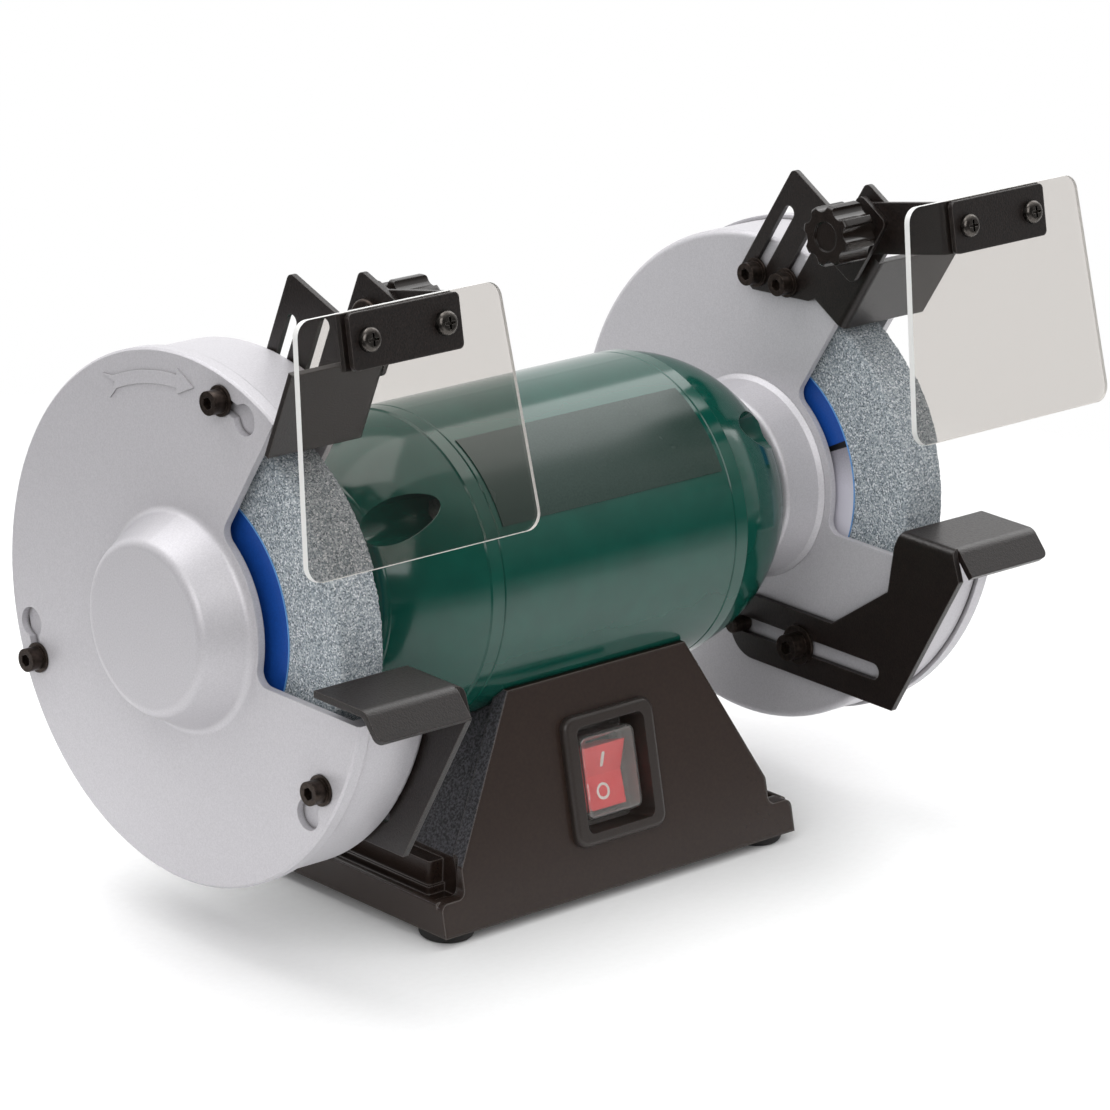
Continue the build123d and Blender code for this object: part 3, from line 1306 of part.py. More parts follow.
def switch_rocker():
    """Rocker at rest with its lower half pressed in, turning about a pin across the panel."""
    width, height = ROCKER
    crown = ROCKER_CROWN
    dip = height / 2 * math.tan(math.radians(ROCKER_TILT))
    pivot = ROCKER_PIVOT - 2
    outline = Polyline(
        (-height / 2, crown - 2 - pivot + dip),
        (0, crown - 2 - pivot - dip * 0.6),
        (height / 2, crown - 2 - pivot + dip),
        (height * 0.36, -ROCKER_DEPTH * 0.4),
        (-height * 0.36, -ROCKER_DEPTH * 0.4),
        close=True,
    )
    side_view = Plane(origin=(-width / 2, 0, 0), x_dir=(0, 1, 0), z_dir=(1, 0, 0))
    cap = extrude(side_view * make_face(outline), width)
    cap += Rot(0, 90, 0) * Cylinder(ROCKER_PIN, width + 6)
    return in_well(Pos(0, 0, pivot) * Rot(ROCKER_TILT, 0, 0) * cap)


def switch_hood():
    """Clear box that keeps grit off the rocker, held by its flange in the well."""
    width, height, depth = HOOD
    hood = extrude(RectangleRounded(width, height, HOOD_CORNER), depth)
    top = hood.faces().sort_by(Axis.Z)[-1].edges()
    hood = fillet(top, HOOD_CORNER * 0.6)
    inside = RectangleRounded(width - 2 * HOOD_WALL, height - 2 * HOOD_WALL, HOOD_CORNER - HOOD_WALL)
    hood -= extrude(inside, depth - HOOD_WALL)
    seat = [size - 2 * SWITCH_CUT for size in BEZEL_OPENING]
    flange = extrude(RectangleRounded(*seat, BEZEL_CORNER * 0.6 - SWITCH_CUT), HOOD_WALL)
    flange -= extrude(inside, LONG, both=True)
    return in_well(hood + flange)


# Electrical pieces

def run_capacitor():
    x, y = CAPACITOR_AT
    z = FOOT_HEIGHT + PLATE_THICKNESS + CLIP_SHEET + CAPACITOR_RADIUS
    half = CAPACITOR_LENGTH / 2
    can = along_x(CAPACITOR_RADIUS, x - half, x + half, y, z)
    can = fillet(can.edges().filter_by(GeomType.CIRCLE), 1.5)
    for offset in (-5, 5):
        can += along_x(1.5, x + half - 1, x + half + 6, y + offset, z)
    return can


def capacitor_clip():
    x, y = CAPACITOR_AT
    floor = FOOT_HEIGHT + PLATE_THICKNESS
    z = floor + CLIP_SHEET + CAPACITOR_RADIUS
    half = CLIP_WIDTH / 2
    strap = along_x(CAPACITOR_RADIUS + CLIP_SHEET, x - half, x + half, y, z)
    tab_y = CAPACITOR_RADIUS + CLIP_SHEET + CLIP_TAB
    strap += Pos(x, y, floor + CLIP_SHEET / 2) * Box(CLIP_WIDTH, 2 * tab_y, CLIP_SHEET)
    return strap - along_x(CAPACITOR_RADIUS, x - half - 1, x + half + 1, y, z)


def terminal_block():
    x, y = TERMINAL_BLOCK_AT
    length, width, height = TERMINAL_BLOCK
    floor = FOOT_HEIGHT + PLATE_THICKNESS
    block = Pos(x, y, floor + height / 2) * Box(length, width, height)
    for index in (-1, 0, 1):
        port = Pos(x + index * length / 3.4, y, floor + height * 0.45)
        block -= port * Rot(90, 0, 0) * Cylinder(2.0, width + 2)
        block -= Pos(x + index * length / 3.4, y, floor + height) * Cylinder(2.4, height * 0.6)
    return block


def cable_gland():
    """Empty cord inlet in the rear panel."""
    tail = BASE_WALL + GLAND_NUT_LENGTH + 2
    body = extrude(RegularPolygon(GLAND_FLANGE, 6), GLAND_FLANGE_LENGTH)
    body += extrude(Circle(GLAND_FLANGE * 0.8), GLAND_FLANGE_LENGTH + GLAND_NOSE)
    body += extrude(Circle(GLAND_BODY), -tail)
    body -= extrude(Circle(GLAND_BORE), LONG / 2, both=True)
    return rear_panel().location * body


def cable_gland_nut():
    start = -BASE_WALL * math.cos(math.atan(panel_slope()))
    nut = extrude(RegularPolygon(GLAND_FLANGE, 6), -GLAND_NUT_LENGTH)
    nut -= extrude(Circle(GLAND_BODY), LONG / 2, both=True)
    return rear_panel().location * Pos(0, 0, start) * nut


# Writing one file for each piece

def sided(name, maker):
    """A piece that is drawn once for each end."""
    return {f"{side}_{name}": maker(side) for side in ("left", "right")}


def mirrored_pair(name, shape):
    return {f"left_{name}": mirrored(shape), f"right_{name}": shape}


def assembly():
    pieces = {
        "base_housing": base_housing(),
        "base_plate": base_plate(),
        "rubber_feet": rubber_feet(),
        "base_plate_screws": base_plate_screws(),
        "motor_base_bolts": motor_base_bolts(),
        "switch_bezel": switch_bezel(),
        "switch_body": switch_body(),
        "switch_rocker": switch_rocker(),
        "switch_hood": switch_hood(),
        "run_capacitor": run_capacitor(),
        "capacitor_clip": capacitor_clip(),
        "terminal_block": terminal_block(),
        "cable_gland": cable_gland(),
        "cable_gland_nut": cable_gland_nut(),
        "motor_shell": motor_shell(),
        "motor_nameplate": motor_nameplate(),
        "stator_core": stator_core(),
        "stator_windings": stator_windings(),
        "rotor_core": rotor_core(),
        "shaft": shaft(),
        "tie_bolts": tie_bolts(),
        "wave_washers": both_ends([wave_washer()]),
        "bearing_outer_rings": both_ends([bearing_outer_ring()]),
        "bearing_inner_rings": both_ends([bearing_inner_ring()]),
        "bearing_balls": both_ends(bearing_balls()),
        "wheel_labels": both_ends(wheel_labels()),
        "inner_flanges": both_ends([inner_flange()]),
        "outer_flanges": both_ends([outer_flange()]),
        "wheel_nuts": both_ends([wheel_nut()]),
        "guard_collars": both_ends([guard_collar()]),
        "guard_screws": guard_screws(),
        "cover_screws": cover_screws(),
        "arrester_screws": arrester_screws(),
        "rest_bolts": rest_bolts(),
    }
    pieces.update(mirrored_pair("end_bell", end_bell()))
    pieces.update(mirrored_pair("wheel", wheel()))
    pieces.update(mirrored_pair("outer_cover", outer_cover()))
    pieces.update(sided("inner_guard", lambda side: to_side(side, guard(side))))
    pieces.update(sided("tool_rest", tool_rest))
    pieces.update(sided("spark_arrester", spark_arrester))
    pieces.update(sided("pressure_plate", pressure_plate))
    pieces.update(sided("clamp_bolt", clamp_bolt))
    pieces.update(sided("clamp_knob", clamp_knob))
    pieces.update(sided("shield_arm", shield_arm))
    pieces.update(sided("eye_shield", eye_shield))
    pieces.update(sided("shield_clamp", shield_clamp))
    pieces.update(sided("shield_screws", shield_screws))
    return pieces


os.makedirs("parts", exist_ok=True)
for name, shape in assembly().items():
    export_step(shape, f"parts/{name}.step")
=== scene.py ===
import math
import random

import bmesh
import bpy
from mathutils import Matrix, Vector


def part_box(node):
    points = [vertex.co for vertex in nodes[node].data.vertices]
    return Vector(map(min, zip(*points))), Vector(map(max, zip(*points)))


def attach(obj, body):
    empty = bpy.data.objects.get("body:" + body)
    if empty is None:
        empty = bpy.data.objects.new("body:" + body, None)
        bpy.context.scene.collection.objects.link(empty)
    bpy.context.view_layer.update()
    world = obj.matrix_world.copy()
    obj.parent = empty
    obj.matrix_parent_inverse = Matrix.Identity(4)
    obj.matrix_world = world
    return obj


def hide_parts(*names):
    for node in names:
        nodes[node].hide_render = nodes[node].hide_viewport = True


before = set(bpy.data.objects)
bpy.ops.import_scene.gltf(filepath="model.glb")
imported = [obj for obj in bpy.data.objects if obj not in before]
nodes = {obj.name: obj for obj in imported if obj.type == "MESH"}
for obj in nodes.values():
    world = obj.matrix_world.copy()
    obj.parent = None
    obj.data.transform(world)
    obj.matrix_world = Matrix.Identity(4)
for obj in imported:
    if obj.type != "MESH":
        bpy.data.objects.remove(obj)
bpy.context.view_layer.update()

# Sizes of the part that patterns and pieces follow, in metres and degrees
SHAFT_HEIGHT = 0.119
LABEL_RADIUS = 0.049
WHEEL_BORE = 0.00805
SHIELD_LEAN = 12.0
SIDE_LEAN = 29.4


# Small tools for writing materials

def ink(code):
    """Linear colour of an sRGB hex value."""
    shares = [int(code[i:i + 2], 16) / 255 for i in (1, 3, 5)]
    return (*[s / 12.92 if s <= 0.04045 else ((s + 0.055) / 1.055) ** 2.4 for s in shares], 1.0)


def per_mm(size):
    """Scale of a pattern whose grains are this many millimetres wide."""
    return 1000.0 / size


def add(tree, kind, links=None, stops=None, **settings):
    """Adds a node: its settings, its sockets (values or links) and the stops of a ramp."""
    made = tree.nodes.new(kind)
    for name, value in settings.items():
        setattr(made, name, value)
    for socket, value in (links or {}).items():
        if isinstance(value, bpy.types.NodeSocket):
            tree.links.new(value, made.inputs[socket])
        else:
            made.inputs[socket].default_value = value
    for index, (place, code) in enumerate(stops or []):
        points = made.color_ramp.elements
        point = points[index] if index < 2 else points.new(place)
        point.position = place
        point.color = ink(code)
    return made


def calc(tree, operation, *values):
    """Result of a sum on values or sockets."""
    return add(tree, "ShaderNodeMath", dict(enumerate(values)), operation=operation).outputs[0]


def agree(tree, first, second):
    """How far two directions agree: 1 where they are the same."""
    links = {0: first, 1: second}
    return add(tree, "ShaderNodeVectorMath", links, operation="DOT_PRODUCT").outputs["Value"]


def length(tree, vector):
    """Length of a vector."""
    return add(tree, "ShaderNodeVectorMath", {0: vector}, operation="LENGTH").outputs["Value"]


def remap(tree, value, to_low, to_high, low=0.0, high=1.0):
    """Moves a value from one range into another and holds it at both ends."""
    links = {"Value": value, "From Min": low, "From Max": high, "To Min": to_low, "To Max": to_high}
    return add(tree, "ShaderNodeMapRange", links).outputs["Result"]


def blend(tree, share, first, second):
    """The first colour where the share is 0, the second where it is 1."""
    return add(tree, "ShaderNodeMix", {"Factor": share, 6: first, 7: second}, data_type="RGBA").outputs[2]


def ramp(tree, pattern, stops):
    """Colours laid along a pattern."""
    return add(tree, "ShaderNodeValToRGB", {"Fac": pattern}, stops=stops).outputs["Color"]


def grain(tree, where, size, detail=2.0, roughness=0.5):
    """Cloudy pattern with grains of this size in millimetres."""
    links = {"Vector": where, "Scale": per_mm(size), "Detail": detail, "Roughness": roughness}
    return add(tree, "ShaderNodeTexNoise", links).outputs["Fac"]


def bands(tree, where, pitch, distortion=0.0):
    """Even bands along X with this pitch in millimetres."""
    # The texture draws so many bands per unit at a scale of 1.
    bands_per_unit = 3.18
    links = {"Vector": where, "Scale": per_mm(pitch) / bands_per_unit, "Distortion": distortion}
    return add(tree, "ShaderNodeTexWave", links, bands_direction="X").outputs["Fac"]


def stretched(tree, where, scale):
    """The same place, with the pattern drawn out where the scale is small."""
    return add(tree, "ShaderNodeMapping", {"Vector": where, "Scale": scale}).outputs["Vector"]


def broken_edge(tree, radius_mm):
    """Surface direction with the edges rounded by this radius."""
    return add(tree, "ShaderNodeBevel", {"Radius": radius_mm / 1000}, samples=4).outputs["Normal"]


# Parts of a finish

def surface(name, fixed):
    """A material with one shader, its constant values on the shader's own sockets."""
    made = bpy.data.materials.new(name)
    made.use_nodes = True
    tree = made.node_tree
    shader = tree.nodes["Principled BSDF"]
    for socket, value in fixed.items():
        shader.inputs[socket].default_value = value
    where = add(tree, "ShaderNodeTexCoord").outputs["Object"]
    return made, tree, shader, where


def tone(tree, shader, pattern, stops):
    """Colours the surface along a pattern."""
    paint = ramp(tree, pattern, stops)
    tree.links.new(paint, shader.inputs["Base Color"])
    return paint


def spread(tree, shader, pattern, low, high, socket="Roughness"):
    """Lets a value wander between two limits with a pattern."""
    tree.links.new(remap(tree, pattern, low, high), shader.inputs[socket])


def relief(tree, shader, height, depth_mm, edge_mm=0.0):
    """Fine unevenness of this depth, on edges broken by this radius."""
    links = {"Height": height, "Distance": depth_mm / 1000, "Strength": 1.0}
    if edge_mm:
        links["Normal"] = broken_edge(tree, edge_mm)
    tree.links.new(add(tree, "ShaderNodeBump", links).outputs["Normal"], shader.inputs["Normal"])


def painted_edge_highlight(tree, shader, paint, width_mm, code, share):
    """Painted highlight: lighter paint along edges, where rounded edges would catch the light."""
    plain = add(tree, "ShaderNodeNewGeometry").outputs["Normal"]
    alike = agree(tree, broken_edge(tree, width_mm), plain)
    # Painted highlight: the sharper the edge, the more of the lighter paint.
    edge = remap(tree, alike, 0.0, share, low=0.98, high=0.8)
    tree.links.new(blend(tree, edge, paint, ink(code)), shader.inputs["Base Color"])


def painted_crease_shade(tree, shader, paint, reach_mm, code):
    """Painted shade: grey-brown paint in seams and slots up to this size, darkest where the least light
    reaches.
    """
    links = {"Distance": reach_mm / 1000}
    open_air = add(tree, "ShaderNodeAmbientOcclusion", links, samples=8).outputs["AO"]
    # Painted shade: the less open the place, the more of the grey-brown paint.
    crease_shade = remap(tree, open_air, 1.0, 0.0, low=0.25, high=0.75)
    tree.links.new(blend(tree, crease_shade, paint, ink(code)), shader.inputs["Base Color"])


def let_lamps_through(tree, shader, tint):
    """Lamps shine through a clear piece instead of stopping at it."""
    through = add(tree, "ShaderNodeBsdfTransparent", {"Color": ink(tint)}).outputs["BSDF"]
    lamp_ray = add(tree, "ShaderNodeLightPath").outputs["Is Shadow Ray"]
    both = add(tree, "ShaderNodeMixShader", {0: lamp_ray, 1: shader.outputs["BSDF"], 2: through})
    tree.links.new(both.outputs["Shader"], tree.nodes["Material Output"].inputs["Surface"])


# Paints

def silver_stove_enamel():
    """Silver enamel sprayed on pressed steel and baked: a soft sheen, fine flake, slight orange peel."""
    made, tree, shader, where = surface("silver stove enamel", {"Metallic": 0.35})
    # Real flake is about 0.05 mm, too fine to show, so it is drawn at 0.6 mm.
    paint = tone(tree, shader, grain(tree, where, 0.6), [(0.3, "#BCBABE"), (0.7, "#C8C6CA")])
    # Painted shade in seams, slots and keyholes: grey-brown paint where light reaches less.
    painted_crease_shade(tree, shader, paint, 2.5, "#4A4543")
    spread(tree, shader, grain(tree, where, 25.0), 0.4, 0.48)
    relief(tree, shader, grain(tree, where, 1.8, 1.0), 0.012, edge_mm=0.5)
    return made


def green_gloss_enamel():
    """Dark green enamel with a wet gloss: sharp lights over a deep colour, faint orange peel."""
    made, tree, shader, where = surface("green gloss enamel", {"IOR": 1.55})
    tone(tree, shader, grain(tree, where, 14.0), [(0.3, "#064036"), (0.7, "#09473C")])
    spread(tree, shader, grain(tree, where, 30.0), 0.1, 0.16)
    relief(tree, shader, grain(tree, where, 2.5, 1.0), 0.006, edge_mm=0.3)
    return made


def sloping_sides(tree):
    """1 on the two sloping sides of the base, 0 elsewhere, told by the way the surface faces."""
    lean, margin = math.radians(SIDE_LEAN), 0.012
    way = add(tree, "ShaderNodeNewGeometry").outputs["True Normal"]
    split = add(tree, "ShaderNodeSeparateXYZ", {"Vector": way})
    sideways = calc(tree, "ABSOLUTE", split.outputs["X"])
    leaning = calc(tree, "COMPARE", split.outputs["Z"], math.sin(lean), margin)
    facing = calc(tree, "COMPARE", sideways, math.cos(lean), margin)
    return calc(tree, "MULTIPLY", leaning, facing)


def black_satin_enamel():
    """Brown-black enamel on a pressed base: satin faces, and a coarse splatter coat on the sloping sides."""
    made, tree, shader, where = surface("black satin enamel", {})
    sides = sloping_sides(tree)
    peel = grain(tree, where, 1.2)
    splatter = grain(tree, where, 0.9, 3.0, 0.6)
    fine = ramp(tree, peel, [(0.3, "#2C211D"), (0.7, "#30251F")])
    coarse = ramp(tree, splatter, [(0.38, "#1B1A1C"), (0.62, "#525156")])
    # Painted highlight: the base's edges are lightened towards #8C8480, as if they caught the light.
    painted_edge_highlight(tree, shader, blend(tree, sides, fine, coarse), 0.8, "#8C8480", 0.6)
    spread(tree, shader, sides, 0.26, 0.6)
    # The splatter stands far higher than the orange peel of the satin faces.
    peel_share = 0.02
    height = calc(tree, "MULTIPLY_ADD", peel, peel_share, calc(tree, "MULTIPLY", sides, splatter))
    relief(tree, shader, height, 0.15, edge_mm=1.6)
    return made


def black_powder_coat():
    """Black powder coat on cut and bent sheet: closely pebbled, sparkling where it catches light."""
    made, tree, shader, where = surface("black powder coat", {"Specular IOR Level": 0.5})
    # The real pebbles are about 0.3 mm, too fine to show, so they are drawn at 0.7 mm.
    links = {"Vector": where, "Scale": per_mm(0.7)}
    pebbles = add(tree, "ShaderNodeTexVoronoi", links).outputs["Distance"]
    paint = tone(tree, shader, grain(tree, where, 0.7, 3.0, 0.6), [(0.35, "#0D0908"), (0.68, "#221A17")])
    # Painted highlight: the sheet's edges are lightened towards #6E6662, as if they caught the light.
    painted_edge_highlight(tree, shader, paint, 0.5, "#6E6662", 0.5)
    spread(tree, shader, pebbles, 0.26, 0.42)
    relief(tree, shader, pebbles, 0.05, edge_mm=0.7)
    return made


# Metals

def blackened_screw():
    """Hardened screw steel, chemically blackened and oiled: dark brown-black with metal lights."""
    made, tree, shader, where = surface("blackened screw steel", {"Metallic": 0.85})
    tone(tree, shader, grain(tree, where, 1.5), [(0.3, "#2E2723"), (0.7, "#453B35")])
    spread(tree, shader, grain(tree, where, 0.8), 0.28, 0.4)
    relief(tree, shader, grain(tree, where, 0.5), 0.01, edge_mm=0.35)
    return made


def black_zinc_screw():
    """Cross-head screws plated with black zinc: dark grey metal with bright lights."""
    made, tree, shader, where = surface("black zinc screw", {"Metallic": 1.0})
    tone(tree, shader, grain(tree, where, 1.0), [(0.3, "#4C4845"), (0.7, "#625E5A")])
    spread(tree, shader, grain(tree, where, 0.8), 0.2, 0.3)
    relief(tree, shader, grain(tree, where, 0.5), 0.008, edge_mm=0.3)
    return made


def zinc_plated_screw():
    """Zinc-plated pressed screws: bright grey metal, slightly cloudy."""
    made, tree, shader, where = surface("zinc plated steel", {"Metallic": 1.0})
    tone(tree, shader, grain(tree, where, 1.2), [(0.3, "#8C8A86"), (0.7, "#A8A6A2")])
    spread(tree, shader, grain(tree, where, 0.9), 0.24, 0.36)
    relief(tree, shader, grain(tree, where, 0.6), 0.008, edge_mm=0.25)
    return made


def turned_steel():
    """Plain turned steel: fine rings left by the lathe tool about the shaft."""
    made, tree, shader, where = surface("turned steel", {"Metallic": 1.0})
    rings = bands(tree, where, 1.2, 0.6)
    tone(tree, shader, grain(tree, where, 3.0), [(0.3, "#93928F"), (0.7, "#A6A5A2")])
    spread(tree, shader, rings, 0.25, 0.4)
    relief(tree, shader, rings, 0.01, edge_mm=0.3)
    return made


def ground_bearing_steel():
    """Ground and polished bearing steel: mirror bright with faint grinding lines."""
    made, tree, shader, where = surface("ground bearing steel", {"Metallic": 1.0})
    tone(tree, shader, grain(tree, where, 2.0), [(0.3, "#B4B4B6"), (0.7, "#C2C2C4")])
    spread(tree, shader, grain(tree, where, 0.8), 0.1, 0.18)
    relief(tree, shader, grain(tree, where, 0.8), 0.003)
    return made


def laminated_core_steel():
    """Stacked 0.5 mm steel stampings, blued: thin dark lines across the core."""
    made, tree, shader, where = surface("laminated core steel", {"Metallic": 0.9})
    stack = bands(tree, where, 0.5)
    tone(tree, shader, stack, [(0.2, "#3E4046"), (0.8, "#70737A")])
    spread(tree, shader, grain(tree, where, 4.0), 0.35, 0.5)
    relief(tree, shader, stack, 0.05)
    return made


def varnished_copper():
    """Wound copper wire under amber varnish: round 0.7 mm strands."""
    made, tree, shader, where = surface("varnished copper", {"Metallic": 0.7, "Coat Weight": 0.5})
    strands = bands(tree, where, 0.7, 1.5)
    tone(tree, shader, strands, [(0.2, "#5A2A12"), (0.8, "#B4642E")])
    spread(tree, shader, grain(tree, where, 3.0), 0.25, 0.4)
    relief(tree, shader, strands, 0.2)
    return made


def drawn_aluminium():
    """Drawn aluminium can and clip: pale metal with fine lines along the draw."""
    made, tree, shader, where = surface("drawn aluminium", {"Metallic": 1.0})
    lines = stretched(tree, where, (0.05, 1.0, 1.0))
    tone(tree, shader, grain(tree, lines, 0.8), [(0.3, "#B2B3B5"), (0.7, "#C6C7C9")])
    spread(tree, shader, grain(tree, lines, 0.6), 0.28, 0.42)
    relief(tree, shader, grain(tree, lines, 0.6), 0.008, edge_mm=0.3)
    return made


# Stone, card and plastics

def bonded_grit():
    """Grey aluminium oxide grit in a glassy bond: sharp speckles from dark to white, rough to the touch."""
    made, tree, shader, where = surface("bonded grit", {})
    # Grit 36 is about 0.5 mm.
    grains = add(tree, "ShaderNodeTexVoronoi", {"Vector": where, "Scale": per_mm(0.5)})
    shade = add(tree, "ShaderNodeSeparateColor", {"Color": grains.outputs["Color"]}).outputs["Red"]
    tone(
        tree, shader, shade,
        [(0.0, "#525B61"), (1.0, "#E2E5E7"), (0.2, "#7A848B"), (0.55, "#9CA4AA"), (0.85, "#BCC2C6")],
    )
    spread(tree, shader, shade, 0.65, 0.9)
    relief(tree, shader, calc(tree, "MULTIPLY", grains.outputs["Distance"], shade), 0.35)
    return made


def printed_label_card():
    """Blotting-card washers on the wheels: printed blue, a pale border, one silver field, no lettering."""
    # Angles in radians: where the silver field starts, below the right wheel's window and at the
    # rear of the left wheel, and how far the field and the black line before it reach.
    left_start, right_start, field_sweep, line_sweep = -2.2, 0.5, 1.9, 0.05
    border = 0.0004
    made, tree, shader, where = surface("printed label card", {})
    place = add(tree, "ShaderNodeSeparateXYZ", {"Vector": where})
    forward = calc(tree, "MULTIPLY", place.outputs["Y"], -1.0)
    upward = calc(tree, "SUBTRACT", place.outputs["Z"], SHAFT_HEIGHT)
    radius = length(tree, add(tree, "ShaderNodeCombineXYZ", {"X": forward, "Y": upward}).outputs["Vector"])
    angle = calc(tree, "ARCTAN2", upward, forward)
    on_right = calc(tree, "GREATER_THAN", place.outputs["X"], 0.0)
    start = remap(tree, on_right, left_start, right_start)
    past = calc(tree, "WRAP", calc(tree, "SUBTRACT", start, angle), 2 * math.pi, 0.0)
    fibres = grain(tree, where, 0.6, 4.0)
    blue = ramp(tree, fibres, [(0.3, "#103F8C"), (0.7, "#174B9E")])
    # The silver darkens towards the black line.
    foil = calc(tree, "MULTIPLY_ADD", fibres, 0.15, past)
    silver = ramp(tree, foil, [(0.1, "#7C7A82"), (0.95, "#D3D1DB"), (0.45, "#C4C2CD")])
    fields = blend(tree, calc(tree, "LESS_THAN", past, field_sweep), blue, silver)
    lined = blend(tree, calc(tree, "LESS_THAN", past, line_sweep), fields, ink("#0B0B0D"))
    rim = calc(tree, "GREATER_THAN", radius, LABEL_RADIUS - border)
    tree.links.new(blend(tree, rim, lined, ink("#5F94CC")), shader.inputs["Base Color"])
    spread(tree, shader, fibres, 0.35, 0.5)
    relief(tree, shader, fibres, 0.02)
    return made


def printed_plate_film():
    """Grey-green film on the motor, printed plain: satin, with the faint print of a screen."""
    made, tree, shader, where = surface("printed plate film", {"Specular IOR Level": 0.4})
    tone(tree, shader, grain(tree, where, 0.7), [(0.3, "#20322D"), (0.7, "#283A34")])
    spread(tree, shader, grain(tree, where, 12.0), 0.22, 0.3)
    relief(tree, shader, grain(tree, where, 0.7), 0.008, edge_mm=0.15)
    return made


def moulded_black_plastic():
    """Black nylon from a spark-eroded mould: fine even grain, soft lights."""
    made, tree, shader, where = surface("moulded black plastic", {})
    grains = grain(tree, where, 0.5)
    tone(tree, shader, grains, [(0.3, "#28221F"), (0.7, "#332C29")])
    spread(tree, shader, grain(tree, where, 6.0), 0.28, 0.36)
    relief(tree, shader, grains, 0.012, edge_mm=0.5)
    return made


def polished_black_knob():
    """Black phenolic knobs from a polished mould: deep black with sharp lights on every rib."""
    made, tree, shader, where = surface("polished black phenolic", {})
    tone(tree, shader, grain(tree, where, 3.0), [(0.3, "#17120F"), (0.7, "#1F1916")])
    spread(tree, shader, grain(tree, where, 5.0), 0.12, 0.2)
    relief(tree, shader, grain(tree, where, 1.5), 0.006, edge_mm=0.5)
    return made


def moulded_red_plastic():
    """Red polycarbonate rocker from a polished mould: clear colour, glossy, a little light inside."""
    inside = {"Subsurface Weight": 0.1, "Subsurface Radius": (0.002, 0.0005, 0.0004)}
    made, tree, shader, where = surface("moulded red plastic", inside)
    tone(tree, shader, grain(tree, where, 5.0), [(0.3, "#E63E44"), (0.7, "#EE4A4E")])
    spread(tree, shader, grain(tree, where, 4.0), 0.18, 0.26)
    relief(tree, shader, grain(tree, where, 1.0), 0.006, edge_mm=0.4)
    return made


def moulded_grey_plastic():
    """Grey polyamide of a terminal block: matt with a fine grain."""
    made, tree, shader, where = surface("moulded grey plastic", {})
    tone(tree, shader, grain(tree, where, 0.6), [(0.3, "#8A8C8E"), (0.7, "#989A9C")])
    spread(tree, shader, grain(tree, where, 4.0), 0.45, 0.55)
    relief(tree, shader, grain(tree, where, 0.6), 0.015, edge_mm=0.3)
    return made


def moulded_rubber():
    """Black rubber feet: dull, faintly chalky."""
    made, tree, shader, where = surface("moulded rubber", {})
    tone(tree, shader, grain(tree, where, 2.5, 3.0), [(0.3, "#141312"), (0.7, "#201E1D")])
    spread(tree, shader, grain(tree, where, 3.0), 0.7, 0.85)
    relief(tree, shader, grain(tree, where, 0.6), 0.03, edge_mm=0.4)
    return made


def cast_acrylic():
    """Clear acrylic sheet with sawn and flamed edges: a warm grey cast, white edges, faint wipe marks."""
    face_limit, edge_roughness, deepest_wipe = 0.7, 0.35, 0.015
    made, tree, shader, where = surface("cast acrylic", {"IOR": 1.49})
    normal = add(tree, "ShaderNodeTexCoord").outputs["Normal"]
    lean = math.radians(SHIELD_LEAN)
    facing = calc(tree, "ABSOLUTE", agree(tree, normal, (0.0, -math.cos(lean), math.sin(lean))))
    face = calc(tree, "GREATER_THAN", facing, face_limit)
    tone(tree, shader, face, [(0.0, "#F4F4F2"), (1.0, "#DCD8D4")])
    spread(tree, shader, face, 0.25, 1.0, "Transmission Weight")
    wipes = remap(tree, grain(tree, stretched(tree, where, (1.0, 1.0, 0.15)), 1.5, 4.0), 0.0, deepest_wipe)
    rough = add(tree, "ShaderNodeMix", {"Factor": face, "A": edge_roughness, "B": wipes})
    tree.links.new(rough.outputs[0], shader.inputs["Roughness"])
    relief(tree, shader, grain(tree, where, 40.0), 0.02)
    let_lamps_through(tree, shader, "#DEDBD8")
    return made


def soft_clear_hood():
    """Soft clear vinyl hood over the switch: see-through, slightly wavy, with a satin bloom."""
    vinyl = {"Transmission Weight": 0.95, "IOR": 1.45, "Base Color": ink("#F6F4F2")}
    made, tree, shader, where = surface("soft clear vinyl", vinyl)
    spread(tree, shader, grain(tree, where, 4.0, 3.0), 0.02, 0.1)
    relief(tree, shader, grain(tree, where, 6.0), 0.08, edge_mm=0.6)
    let_lamps_through(tree, shader, "#F0EEEC")
    return made


def white_pad_print():
    """White ink pad-printed on the rocker: flat, slightly patchy."""
    made, tree, shader, where = surface("white pad print", {})
    tone(tree, shader, grain(tree, where, 0.6), [(0.3, "#E9E6E2"), (0.7, "#F4F2EF")])
    spread(tree, shader, grain(tree, where, 0.6), 0.4, 0.5)
    relief(tree, shader, grain(tree, where, 0.4), 0.01)
    return made


# Which piece has which surface

def pair(*names):
    """The nodes that the left and the right end each have."""
    return [f"{side}_{name}" for name in names for side in ("left", "right")]


